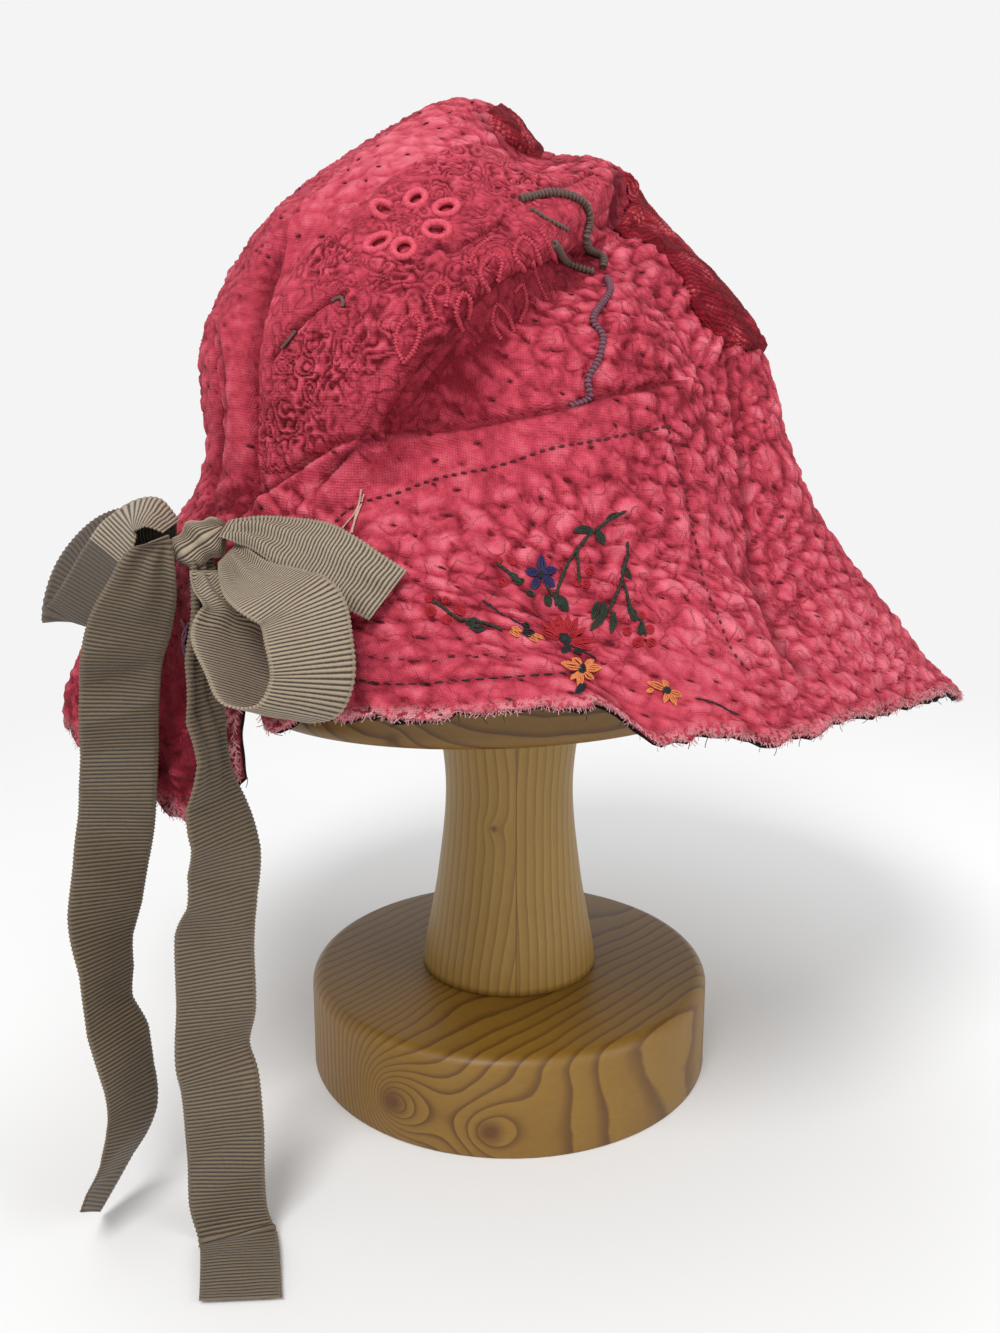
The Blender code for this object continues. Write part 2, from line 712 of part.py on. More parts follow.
def ribbon_rows(stations, is_tail, per_station=2):
    rows = np.array(stations, dtype=float)
    knot = knot_centre()
    centre = rows[:, :3] * ribbon_width + knot
    if is_tail:
        centre[:, 2] = rows[:, 2] * knot[2]
    facing = np.radians(rows[:, 3])
    lean = np.radians(rows[:, 4])
    width = np.stack((np.cos(facing) * np.cos(lean), np.sin(facing) * np.cos(lean), np.sin(lean)), axis=1)
    places = np.linspace(0, len(rows) - 1, per_station * (len(rows) - 1) + 1)
    centre = catmull(centre, places)
    width = catmull(width, places)
    tangent = np.gradient(centre, axis=0)
    tangent /= np.linalg.norm(tangent, axis=1, keepdims=True)
    width -= tangent * np.sum(width * tangent, axis=1, keepdims=True) * 0.5
    width /= np.linalg.norm(width, axis=1, keepdims=True)
    span = catmull(rows[:, 5], places) * ribbon_width
    normal = np.cross(tangent, width)
    normal /= np.linalg.norm(normal, axis=1, keepdims=True)
    return centre, width * span[:, None], normal


def build_ribbon(name, stations, look, is_tail=False):
    centre, width, normal = ribbon_rows(stations, is_tail)
    half = normal * ribbon_wall / 2
    left = centre - width / 2
    right = centre + width / 2
    outer = np.stack((left + half, right + half), axis=0)
    inner = np.stack((left - half, right - half), axis=0)
    return layer_solid(name, outer, inner, look)


def build_bow(look):
    bpy.ops.mesh.primitive_cube_add(size=1, location=knot_centre())
    knot = bpy.context.object
    knot.name = "ribbon_knot"
    knot.data.transform(
        ((knot_length, 0, 0, 0), (0, knot_depth, 0, 0), (0, 0, knot_height, 0), (0, 0, 0, 1)))
    edge = knot.modifiers.new("soft edge", "BEVEL")
    edge.width = knot_edge_radius
    edge.segments = 2
    knot.data.materials.append(look)
    for name, stations in loops.items():
        build_ribbon(name, stations, look)
    for name, stations in tails.items():
        build_ribbon(name, stations, look, is_tail=True)


def main():
    clear_scene()
    pine = material("pine", (0.55, 0.38, 0.18), 0.35)
    pink = material("pink quilt", (0.62, 0.12, 0.16), 0.9)
    red = material("red lining cloth", (0.34, 0.01, 0.03), 0.9)
    black = material("black lining", (0.01, 0.01, 0.012), 0.9)
    taupe = material("taupe grosgrain", (0.26, 0.21, 0.15), 0.7)
    grey = material("grey thread", (0.14, 0.09, 0.08), 0.6)
    purple = material("purple thread", (0.16, 0.05, 0.12), 0.6)
    build_stand(pine)
    cover = build_hat(pink, black, red)
    build_block(pine, cover)
    tree = evaluated_tree(("cutwork_panel", "hat_shell"))
    build_eyelets(pink, evaluated_tree(("cutwork_panel",)))
    build_stems({"grey_stem": grey, "grey_stem_branch": grey, "grey_stem_thread": grey, "purple_stem": purple}, tree)
    build_bow(taupe)


main()
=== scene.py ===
# Quilted pink hat with a grosgrain bow on its pine hat stand.
# A turn is an angle in degrees on from the hat's back, round by the near side.
import math

import bmesh
import bpy
import numpy as np
from mathutils import Matrix, Vector
from mathutils.bvhtree import BVHTree


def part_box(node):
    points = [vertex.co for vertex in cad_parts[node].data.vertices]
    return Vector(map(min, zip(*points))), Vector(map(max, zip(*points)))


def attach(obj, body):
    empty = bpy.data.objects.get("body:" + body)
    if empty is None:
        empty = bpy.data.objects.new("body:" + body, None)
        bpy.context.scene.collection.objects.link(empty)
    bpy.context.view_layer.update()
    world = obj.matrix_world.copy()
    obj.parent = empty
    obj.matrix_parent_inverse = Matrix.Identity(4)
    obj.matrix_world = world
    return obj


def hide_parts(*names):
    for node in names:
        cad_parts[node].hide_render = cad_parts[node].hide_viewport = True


mm = 0.001
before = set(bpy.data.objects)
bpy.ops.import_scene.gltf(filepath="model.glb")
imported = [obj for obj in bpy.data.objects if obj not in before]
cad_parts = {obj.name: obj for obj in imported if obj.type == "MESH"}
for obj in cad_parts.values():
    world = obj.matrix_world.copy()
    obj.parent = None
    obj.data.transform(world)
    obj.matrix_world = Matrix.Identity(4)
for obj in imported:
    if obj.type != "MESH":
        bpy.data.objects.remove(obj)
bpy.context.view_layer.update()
blockLow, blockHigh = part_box("head_block")
print("frame loaded:", len(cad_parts), "nodes")

camera = {
    "place": (-3.5 * mm, -397 * mm, 226.6 * mm),
    "pitch": 11.0,           # degrees down
    "focalPixels": 1100,
    "frame": (1000, 1333),
    "sensor": 36,
}


def addCamera():
    data = bpy.data.cameras.new("photoCamera")
    data.sensor_width = camera["sensor"]
    data.lens = camera["sensor"] * camera["focalPixels"] / max(camera["frame"])
    data.clip_start = 0.01
    made = bpy.data.objects.new("photoCamera", data)
    made.location = camera["place"]
    made.rotation_euler = (math.radians(90 - camera["pitch"]), 0, 0)
    bpy.context.scene.collection.objects.link(made)
    bpy.context.scene.camera = made


def pixelOf(points):
    # Photo pixels and depth of points in the row frame.
    pitch = math.radians(camera["pitch"])
    offset = np.asarray(points) - np.array(camera["place"])
    depth = offset[..., 1] * math.cos(pitch) - offset[..., 2] * math.sin(pitch)
    drop = -offset[..., 1] * math.sin(pitch) - offset[..., 2] * math.cos(pitch)
    scale = camera["focalPixels"] / depth
    return (camera["frame"][0] / 2 + offset[..., 0] * scale, camera["frame"][1] / 2 + drop * scale, depth)


def rayThrough(px, py):
    pitch = math.radians(camera["pitch"])
    across = (px - camera["frame"][0] / 2) / camera["focalPixels"]
    drop = (py - camera["frame"][1] / 2) / camera["focalPixels"]
    return Vector((across, math.cos(pitch) - drop * math.sin(pitch),
        -math.sin(pitch) - drop * math.cos(pitch))).normalized()


addCamera()
print("camera made")


# Small helpers for shapes

def catmull(values, place):
    # A smooth curve through values, which stand at places 0, 1, 2 and so on.
    values = np.asarray(values, dtype=float)
    last = len(values) - 1
    place = np.clip(np.asarray(place, dtype=float), 0, last)
    left = np.minimum(np.floor(place).astype(int), last - 1)
    part = place - left
    before = values[np.maximum(left - 1, 0)]
    start = values[left]
    end = values[left + 1]
    after = values[np.minimum(left + 2, last)]
    if values.ndim > 1:
        part = part[..., None]
    bend = 2 * before - 5 * start + 4 * end - after
    twist = 3 * (start - end) + after - before
    return start + 0.5 * part * (end - before + part * (bend + part * twist))


def placeOf(keys, wanted):
    return np.interp(wanted, keys, np.arange(len(keys)))


def smoothStep(value):
    value = np.clip(value, 0, 1)
    return value * value * (3 - 2 * value)


def hashed(first, second, third, seed):
    # A fixed pseudo-random number from 0 to 1 for each set of whole numbers.
    mixed = (np.asarray(first, dtype=np.int64) * 73856093 ^ np.asarray(second, dtype=np.int64)
        * 19349663 ^ np.asarray(third, dtype=np.int64) * 83492791 ^ (seed * 265443576 + 12345))
    mixed = (mixed ^ (mixed >> 13)) & 0x7FFFFFFF
    mixed = (mixed * 1274126177) & 0x7FFFFFFF
    mixed = (mixed ^ (mixed >> 11)) & 0x7FFFFFFF
    mixed = (mixed * 69069 + 1) & 0x7FFFFFFF
    return (mixed & 0xFFFFFF) / 0xFFFFFF


def clothNoise(points, size, seed=0):
    # Smooth noise from -1 to 1 in space, with lumps of that size.
    scaled = np.asarray(points) / size
    cell = np.floor(scaled).astype(np.int64)
    part = scaled - cell
    part = part * part * (3 - 2 * part)
    total = np.zeros(scaled.shape[:-1])
    for dx in (0, 1):
        for dy in (0, 1):
            for dz in (0, 1):
                weight = (np.where(dx, part[..., 0], 1 - part[..., 0])
                    * np.where(dy, part[..., 1], 1 - part[..., 1])
                    * np.where(dz, part[..., 2], 1 - part[..., 2]))
                total += weight * hashed(cell[..., 0] + dx, cell[..., 1] + dy, cell[..., 2] + dz, seed)
    return total * 2 - 1


def normalised(vectors):
    return vectors / np.maximum(np.linalg.norm(vectors, axis=-1, keepdims=True), 1e-12)


def pieceFrom(name, vertices, faces, look, uvs=None, mask=None, closed=True):
    mesh = bpy.data.meshes.new(name)
    vertices = np.asarray(vertices, dtype=np.float32)
    mesh.from_pydata(vertices.tolist(), [], faces)
    if uvs is not None:
        layer = mesh.uv_layers.new(name="cloth")
        corners = np.zeros(len(mesh.loops), dtype=np.int32)
        mesh.loops.foreach_get("vertex_index", corners)
        layer.data.foreach_set("uv", np.asarray(uvs, dtype=np.float32)[corners].ravel())
    if mask is not None:
        layer = mesh.color_attributes.new("mask", "FLOAT_COLOR", "POINT")
        layer.data.foreach_set("color", np.asarray(mask, dtype=np.float32).ravel())
    if closed:
        shape = bmesh.new()
        shape.from_mesh(mesh)
        bmesh.ops.recalc_face_normals(shape, faces=shape.faces)
        shape.to_mesh(mesh)
        shape.free()
    mesh.materials.append(look)
    mesh.shade_smooth()
    made = bpy.data.objects.new(name, mesh)
    bpy.context.scene.collection.objects.link(made)
    return made


def dress(piece, slotName, *nodes):
    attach(piece, "root")
    if nodes:
        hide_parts(*nodes)
    return piece


# Materials

def feed(tree, socket, value):
    # A socket takes another socket's result or a plain value.
    if isinstance(value, bpy.types.NodeSocket):
        tree.links.new(value, socket)
    else:
        socket.default_value = value


def addNode(tree, kind, inputs=None, **settings):
    made = tree.nodes.new(kind)
    for name, value in settings.items():
        setattr(made, name, value)
    for name, value in (inputs or {}).items():
        feed(tree, made.inputs[name], value)
    return made


def newLook(name, roughness, **others):
    look = bpy.data.materials.new(name)
    look.use_nodes = True
    shader = look.node_tree.nodes["Principled BSDF"]
    shader.inputs["Roughness"].default_value = roughness
    for label, value in others.items():
        shader.inputs[label.replace("_", " ")].default_value = value
    return look, look.node_tree, shader


def finishLook(tree, shader, colour, height, depth, strength=1.0):
    feed(tree, shader.inputs["Base Color"], colour)
    bump = addNode(tree, "ShaderNodeBump", {"Height": height, "Distance": depth, "Strength": strength})
    feed(tree, shader.inputs["Normal"], bump.outputs["Normal"])


def maths(tree, operation, *values):
    return addNode(tree, "ShaderNodeMath", dict(enumerate(values)), operation=operation).outputs[0]


def vectorMaths(tree, operation, *values):
    made = addNode(tree, "ShaderNodeVectorMath", dict(enumerate(values)), operation=operation)
    return made.outputs["Value" if operation == "LENGTH" else "Vector"]


def swing(tree, value, amount):
    # amount times a share's distance from one half
    return maths(tree, "MULTIPLY", maths(tree, "SUBTRACT", value, 0.5), amount)


def mixed(tree, share, first, second, blend="MIX"):
    first, second = (value if isinstance(value, bpy.types.NodeSocket) else (*value, 1.0)
        for value in (first, second))
    return addNode(tree, "ShaderNodeMix", {0: share, 6: first, 7: second}, data_type="RGBA",
        blend_type=blend).outputs[2]


def objectPlace(tree):
    return addNode(tree, "ShaderNodeTexCoord").outputs["Object"]


def noise(tree, place, scale, detail, output="Fac", **others):
    inputs = {"Vector": place, "Scale": scale, "Detail": detail, **others}
    return addNode(tree, "ShaderNodeTexNoise", inputs).outputs[output]


def spread(tree, value, low, high, newLow=0.0, newHigh=1.0, **settings):
    inputs = {"Value": value, "From Min": low, "From Max": high, "To Min": newLow, "To Max": newHigh}
    return addNode(tree, "ShaderNodeMapRange", inputs, **settings).outputs["Result"]


def ramp(tree, share, stops):
    # Colours at shares; the first and the last stop are the ramp's ends.
    made = addNode(tree, "ShaderNodeValToRGB", {"Fac": share})
    elements = made.color_ramp.elements
    for element, (position, colour) in zip(elements, (stops[0], stops[-1])):
        element.position, element.color = position, (*colour, 1)
    for position, colour in stops[1:-1]:
        elements.new(position).color = (*colour, 1)
    return made.outputs["Color"]


# the stitch colour also paints the shade in seam grooves, creases and cut-work hollows
quiltCloth = {"deep": (0.230, 0.010, 0.024), "middle": (0.590, 0.062, 0.102),
    "light": (0.880, 0.215, 0.275), "raw": (0.820, 0.420, 0.430), "stitch": (0.130, 0.003, 0.012),
    "threadPitch": 0.78 * mm, "weaveDepth": 0.14 * mm,}


def clothLook(name, roughness, **changes):
    # mask holds the ridge height, which also paints highlight and shade, the dark of the stitches and the
    # painted shade of the grooves, the raw edge and how far the cloth is quilted.
    form = {**quiltCloth, **changes}
    look, tree, shader = newLook(name, roughness, Specular_IOR_Level=0.2)
    mask = addNode(tree, "ShaderNodeVertexColor", layer_name="mask")
    parts = addNode(tree, "ShaderNodeSeparateColor", {"Color": mask.outputs["Color"]}).outputs
    place = objectPlace(tree)
    threadNoise = noise(tree, place, 0.7 / form["threadPitch"], 2)
    # ridge tops turn lighter and hollows deeper, partly as wear and partly as painted highlight and painted
    # shade
    tone = maths(tree, "MULTIPLY_ADD", parts["Red"], 1.0, -0.15)
    tone = maths(tree, "ADD", tone, swing(tree, noise(tree, place, 32, 4), 0.45))
    tone = maths(tree, "ADD", tone, swing(tree, noise(tree, place, 420, 3), 0.5))
    colour = ramp(tree, tone, ((0.0, form["deep"]), (0.42, form["middle"]), (1.0, form["light"])))
    colour = mixed(tree, parts["Green"], colour, form["stitch"])
    # crumpling too fine for the mesh, strongest where the cloth is quilted: bumped, and painted darker in
    # its creases as painted shade
    crease = maths(tree, "ABSOLUTE", maths(tree, "SUBTRACT", noise(tree, place, 175, 1.5, Distortion=0.5),
        0.5))
    crease = maths(tree, "POWER", maths(tree, "MINIMUM", maths(tree, "MULTIPLY", crease, 8.0), 1.0), 0.6)
    depth = maths(tree, "MULTIPLY", maths(tree, "SUBTRACT", 1.0, crease), mask.outputs["Alpha"])
    shaded = mixed(tree, 1.0, colour, (0.52, 0.34, 0.36), "MULTIPLY")
    colour = mixed(tree, maths(tree, "MULTIPLY", depth, 0.60), colour, shaded)
    pale = maths(tree, "MULTIPLY", parts["Blue"], maths(tree, "GREATER_THAN", threadNoise, 0.47))
    colour = mixed(tree, pale, colour, form["raw"])
    uv = addNode(tree, "ShaderNodeUVMap", uv_map="cloth").outputs["UV"]
    wave = {"Vector": uv, "Scale": 0.314 / (form["threadPitch"] / mm), "Distortion": 1.6, "Detail": 1.0,
        "Detail Scale": 2.0}
    weave = maths(tree, "MULTIPLY", *(addNode(tree, "ShaderNodeTexWave", wave,
        bands_direction=axis).outputs["Fac"] for axis in "XY"))
    shade = mixed(tree, weave, (0.80, 0.74, 0.75), (1.12, 1.16, 1.16))
    height = maths(tree, "SUBTRACT", maths(tree, "ADD", weave, threadNoise),
        maths(tree, "MULTIPLY", depth, 3.6))
    finishLook(tree, shader, mixed(tree, 1.0, colour, shade, "MULTIPLY"), height, form["weaveDepth"])
    return look


def threadLook(name, colour):
    look, tree, shader = newLook(name, 0.55, Specular_IOR_Level=0.25)
    strands = noise(tree, objectPlace(tree), 1500, 2)
    dark = tuple(channel * 0.45 for channel in colour)
    light = tuple(min(1.0, channel * 1.5 + 0.01) for channel in colour)
    finishLook(tree, shader, mixed(tree, strands, dark, light), strands, 0.12 * mm)
    return look


ribbonFinish = {"groove": (0.030, 0.021, 0.013), "ridge": (0.330, 0.270, 0.195),
    "worn": (0.420, 0.355, 0.270), "selvedge": 0.465, "ribDepth": 0.2 * mm,}


def grosgrainLook(name, shade):
    # The map's second axis runs along the ribbon, one unit for each rib.
    look, tree, shader = newLook(name, 0.62, Sheen_Weight=0.15)
    uv = addNode(tree, "ShaderNodeUVMap", uv_map="cloth").outputs["UV"]
    split = addNode(tree, "ShaderNodeSeparateXYZ", {"Vector": uv}).outputs
    rib = maths(tree, "COSINE", maths(tree, "MULTIPLY", split["Y"], math.tau))
    rib = maths(tree, "MULTIPLY_ADD", rib, 0.5, 0.5)
    place = objectPlace(tree)
    strands = noise(tree, place, 1300, 2)
    ridge = mixed(tree, noise(tree, place, 60, 3), *(tuple(np.multiply(shade, ribbonFinish[part]))
        for part in ("ridge", "worn")))
    selvedge = maths(tree, "GREATER_THAN", maths(tree, "ABSOLUTE", split["X"]), ribbonFinish["selvedge"])
    share = maths(tree, "ADD", rib, swing(tree, strands, 0.5))
    share = maths(tree, "ADD", share, maths(tree, "MULTIPLY", selvedge, 0.30))
    # the grooves between the ribs are painted dark, as painted shade, and the ridges lighter
    colour = mixed(tree, spread(tree, share, 0.12, 0.62), ribbonFinish["groove"], ridge)
    height = maths(tree, "ADD", rib, maths(tree, "MULTIPLY", strands, 0.3))
    finishLook(tree, shader, colour, height, ribbonFinish["ribDepth"])
    return look


pineFinish = {"early": (0.450, 0.285, 0.105), "pale": (0.540, 0.370, 0.160), "late": (0.160, 0.066, 0.014),
    "knot": (0.190, 0.072, 0.020), "roughness": 0.50, "coat": 0.08, "coatRoughness": 0.28,
    "seamJump": (0.012, 0.095, 0.02), "seamWidth": 0.25 * mm,}


def lineDistance(tree, point, origin, direction):
    # Distance of the point socket from a line.
    relative = vectorMaths(tree, "SUBTRACT", point, origin)
    return vectorMaths(tree, "LENGTH", vectorMaths(tree, "CROSS_PRODUCT", relative, direction))


def pineLook(name, pith, grain, ringWidth, tone, knots=(), seam=None, wander=2.4 * mm, contrast=1.0):
    # Rings round a pith line: pith is a point on it and grain its direction. A knot is (place, direction,
    # reach, height in rings), and seam is the x of a glue line, past which the board is another.
    finish = pineFinish
    look, tree, shader = newLook(name, finish["roughness"], Coat_Weight=finish["coat"],
        Coat_Roughness=finish["coatRoughness"])
    place = objectPlace(tree)
    drift = vectorMaths(tree, "SUBTRACT", noise(tree, place, 14, 2, "Color"), (0.5, 0.5, 0.5))
    position = vectorMaths(tree, "MULTIPLY_ADD", drift, (wander * 4,) * 3, place)
    if seam is not None:
        x = addNode(tree, "ShaderNodeSeparateXYZ", {"Vector": place}).outputs["X"]
        jump = addNode(tree, "ShaderNodeVectorMath", {0: finish["seamJump"],
            "Scale": maths(tree, "GREATER_THAN", x, seam)}, operation="SCALE")
        position = vectorMaths(tree, "ADD", position, jump.outputs["Vector"])
    along = Vector(grain).normalized()
    rings = maths(tree, "DIVIDE", lineDistance(tree, position, pith, along), ringWidth)
    dark = None
    for spot, direction, reach, height in knots:
        away = lineDistance(tree, position, spot, Vector(direction).normalized())
        distance = maths(tree, "DIVIDE", away, reach)
        bell = maths(tree, "EXPONENT", maths(tree, "MULTIPLY", maths(tree, "POWER", distance, 1.35), -1.0))
        rings = maths(tree, "ADD", rings, maths(tree, "MULTIPLY", bell, height))
        heart = spread(tree, distance, 0.42, 0.10, 0.0, 0.85)
        dark = heart if dark is None else maths(tree, "MAXIMUM", dark, heart)
    rings = maths(tree, "ADD", rings, maths(tree, "MULTIPLY", noise(tree, place, 90, 2), 0.25))
    late = tuple(early + (deep - early) * contrast for early, deep in zip(finish["early"], finish["late"]))
    colour = ramp(tree, maths(tree, "FRACT", rings), ((0.0, finish["pale"]), (0.62, finish["early"]),
        (0.89, late), (0.94, late), (1.0, finish["pale"])))
    stretched = addNode(tree, "ShaderNodeMapping", {"Vector": place,
        "Scale": tuple(900 - 850 * abs(axis) for axis in along)})
    fibres = noise(tree, stretched.outputs[0], 1, 2)
    colour = mixed(tree, maths(tree, "MULTIPLY", fibres, 0.35), colour, finish["late"])
    colour = mixed(tree, maths(tree, "MULTIPLY", noise(tree, place, 22, 2), 0.45), colour, finish["early"])
    if dark is not None:
        colour = mixed(tree, dark, colour, finish["knot"])
    if seam is not None:
        near = maths(tree, "LESS_THAN", maths(tree, "ABSOLUTE", maths(tree, "SUBTRACT", x, seam)),
            finish["seamWidth"])
        colour = mixed(tree, maths(tree, "MULTIPLY", near, 0.6), colour, finish["late"])
    finishLook(tree, shader, mixed(tree, 1.0, colour, tone, "MULTIPLY"), fibres, 0.05 * mm, 0.5)
    return look


pinkLook = clothLook("pinkQuilt", 0.88)
deepRed = clothLook("rawRedCotton", 0.9, deep=(0.150, 0.003, 0.010), middle=(0.360, 0.012, 0.028),
    light=(0.560, 0.050, 0.075), raw=(0.66, 0.20, 0.22))
blackLook = clothLook("blackCotton", 0.92, deep=(0.004, 0.004, 0.005), middle=(0.011, 0.010, 0.012),
    light=(0.030, 0.028, 0.030), raw=(0.02, 0.02, 0.02))
ribbonLook = grosgrainLook("taupeGrosgrain", (0.92, 0.86, 0.78))
# the tails' grosgrain is darker all over, and the left loop's shaded copy is painted shade
tailLook = grosgrainLook("darkerTailGrosgrain", (0.44, 0.375, 0.285))
shadedLook = grosgrainLook("shadedGrosgrain", (0.23, 0.185, 0.150))
threadColours = {"pink": (0.480, 0.042, 0.070), "maroon": (0.085, 0.006, 0.014),
    "black": (0.010, 0.009, 0.011), "green": (0.013, 0.022, 0.011), "blue": (0.018, 0.014, 0.080),
    "red": (0.340, 0.004, 0.013), "orange": (0.620, 0.190, 0.060), "grey": (0.120, 0.070, 0.060),
    "purple": (0.170, 0.066, 0.095), "pale": (0.520, 0.330, 0.270), "rawPink": (0.720, 0.330, 0.350),
    "rose": (0.680, 0.085, 0.130),}
threads = {name: threadLook(name + "Thread", colour) for name, colour in threadColours.items()}
print("materials made:", len(threads) + 6)


# Hat stand

standForm = {"baseRadius": 75 * mm, "baseHeight": 35 * mm, "baseEdge": 4.5 * mm, "footEdge": 0.6 * mm,
    "neckRadii": (33 * mm, 23.8 * 1.14 * mm, 23.8 * mm, 27 * mm), "neckLength": 105 * mm,
    "blockLength": 186 * mm, "blockWidth": 166 * mm, "blockWall": 60 * mm, "blockEdge": 5 * mm,
    "crownAngle": 82, "clearance": 0.3 * mm, "segments": 144,}


def roundedEdge(radius, height, edge, top=True, steps=9):
    rows = []
    for step in range(steps + 1):
        turn = math.pi / 2 * step / steps
        if top:
            rows.append((radius - edge * (1 - math.cos(turn)), height - edge * (1 - math.sin(turn))))
        else:
            rows.append((radius - edge * (1 - math.sin(turn)), height + edge * (1 - math.cos(turn))))
    return rows


def ringPiece(name, first, rings, last, look, uvs=None):
    # A closed piece through rings of places, with one place at either end.
    count, segments = rings.shape[:2]
    turns = [(step, (step + 1) % segments) for step in range(segments)]
    faces = [(0, 1 + side, 1 + step) for step, side in turns]
    start = 1
    for _ in range(count - 1):
        after = start + segments
        faces += [(start + step, start + side, after + side, after + step) for step, side in turns]
        start = after
    faces += [(start + step, start + side, start + segments) for step, side in turns]
    return pieceFrom(name, np.concatenate(([first], rings.reshape(-1, 3), [last])), faces, look, uvs)


def turnedPiece(name, profile, look, segments, stretch=1.0, azimuth=0.0, centre=(0.0, 0.0)):
    # Turned round Z, with the ends drawn in by rings so that the flat faces shade flat.
    (firstRadius, foot), (lastRadius, top) = profile[0], profile[-1]
    rows = [(firstRadius * share, foot) for share in (0.2, 0.6, 0.97)] + list(profile)
    rows += [(lastRadius * share, top) for share in (0.97, 0.6, 0.2)]
    radius, height = np.array(rows).T[..., None]
    angles = np.arange(segments) * math.tau / segments
    along, across = radius * np.cos(angles) * stretch, radius * np.sin(angles)
    rings = np.stack((centre[0] + along * math.cos(azimuth) - across * math.sin(azimuth),
        centre[1] + along * math.sin(azimuth) + across * math.cos(azimuth), height + 0 * along), axis=-1)
    return ringPiece(name, (*centre, foot), rings, (*centre, top), look)


def makeStand():
    height, clearance = standForm["baseHeight"], standForm["clearance"]
    foot, radius = standForm["footEdge"], standForm["baseRadius"]
    base = [(radius - foot, 0.0), (radius - 0.3 * foot, 0.3 * foot), (radius, foot)]
    base += [(radius, height * share) for share in (0.2, 0.4, 0.6, 0.8)]
    base += roundedEdge(radius, height, standForm["baseEdge"])
    baseLook = pineLook("pineBase", (-0.098, 0.086, 0.010), (0.66, 0.75, 0.03), 4.8 * mm,
        tone=(0.53, 0.42, 0.11), contrast=1.0, knots=(((-0.0405, -0.064, 0.0135), (-0.50, -0.86, -0.05),
        16.0 * mm, 12.0), ((-0.0075, -0.074, 0.0085), (0.05, -1.0, 0.1), 15.0 * mm, 5.0)))
    dress(turnedPiece("turned_base", base, baseLook, standForm["segments"]), "pine", "stand_base")
    places = np.linspace(0, 1, 41)
    radii = catmull(standForm["neckRadii"], places * 3)
    heights = height + clearance + places * (standForm["neckLength"] - 2 * clearance)
    neckLook = pineLook("pineNeck", (-0.075, 0.020, 0.0), (0.03, 0.02, 1.0), 3.4 * mm,
        tone=(0.78, 0.71, 0.36), seam=2.3 * mm, knots=(((-0.0066, -0.0235, 0.0955), (-0.1, -1.0, 0.05),
        4.2 * mm, 1.0),), wander=0.9 * mm, contrast=0.45)
    dress(turnedPiece("turned_neck", list(zip(radii, heights)), neckLook, 96), "pine", "stand_neck")
    half, bottom = standForm["blockWidth"] / 2, blockLow[2]
    wall = bottom + standForm["blockWall"]
    # the dome ends where the solid's top is
    rise = (blockHigh[2] - wall) / math.sin(math.radians(standForm["crownAngle"]))
    block = roundedEdge(half, bottom, standForm["blockEdge"], top=False)
    block += [(half, bottom + standForm["blockWall"] * share) for share in (0.3, 0.6, 0.9)]
    for step in range(25):
        turn = math.radians(standForm["crownAngle"]) * step / 24
        block.append((half * math.cos(turn), wall + rise * math.sin(turn)))
    blockLook = pineLook("pineBlock", (0.055, -0.06, 0.262), (0.55, 0.83, 0.05), 6.2 * mm,
        tone=(0.46, 0.35, 0.11), knots=(((-0.034, -0.081, 0.144), (0.2, -1.0, 0.2), 7.0 * mm, 0.8),))
    dress(turnedPiece("carved_block", block, blockLook, standForm["segments"],
        stretch=standForm["blockLength"] / standForm["blockWidth"],
        azimuth=math.radians(hatForm["frontAzimuth"]), centre=hatForm["centre"]), "pine", "head_block")


# Shape of the hat

hatForm = {"frontAzimuth": 48.0, "centre": (-5 * mm, 3 * mm), "length": 300 * mm, "width": 250 * mm,
    "height": 240 * mm, "foot": 100 * mm, "ovalPower": 2.1, "wall": 2.4 * mm, "gap": 0.3 * mm,
    "slitHeight": 0.41, "slitLean": 15.0, "flapLean": 8.0, "slitOpening": 1.2, "flapTuck": 25 * mm,
    "flapTuckTurns": (312, 350), "nearTuck": 9 * mm, "nearTuckTurns": (15, 50), "ragged": 2.0 * mm,
    "nearShare": 0.42, "nearColumns": 300, "flapShare": 0.80, "flapColumns": 90, "farColumns": 200,
    "crownRows": 190, "brimRows": 60,}

# height above the foot, then the reach to the front, far side, back and near side, as shares of the sizes
bellSections = np.array(((1.000, 0.000, 0.000, 0.000, 0.000), (0.990, 0.050, 0.075, 0.080, 0.050),
    (0.950, 0.113, 0.142, 0.138, 0.118), (0.878, 0.170, 0.240, 0.222, 0.182),
    (0.811, 0.218, 0.308, 0.276, 0.238), (0.742, 0.266, 0.355, 0.309, 0.296),
    (0.673, 0.320, 0.385, 0.332, 0.344), (0.603, 0.343, 0.388, 0.335, 0.366),
    (0.531, 0.360, 0.384, 0.332, 0.388), (0.458, 0.390, 0.416, 0.352, 0.416),
    (0.380, 0.440, 0.490, 0.402, 0.460), (0.308, 0.502, 0.546, 0.452, 0.510),
    (0.229, 0.574, 0.580, 0.486, 0.560), (0.162, 0.645, 0.590, 0.500, 0.615),
    (0.000, 0.710, 0.570, 0.490, 0.650),))

# turn and height of the hem, from the slit's near edge round to the far flap
hemLine = ((15, 0.235), (22, 0.256), (36, 0.264), (50, 0.276), (54, 0.272), (59, 0.235), (66, 0.238),
    (73, 0.221), (90, 0.222), (111, 0.199), (127, 0.168), (150, 0.170), (200, 0.200), (250, 0.200),
    (300, 0.190), (328, 0.165), (345, 0.120), (360, 0.078), (368, 0.095), (375, 0.150),)

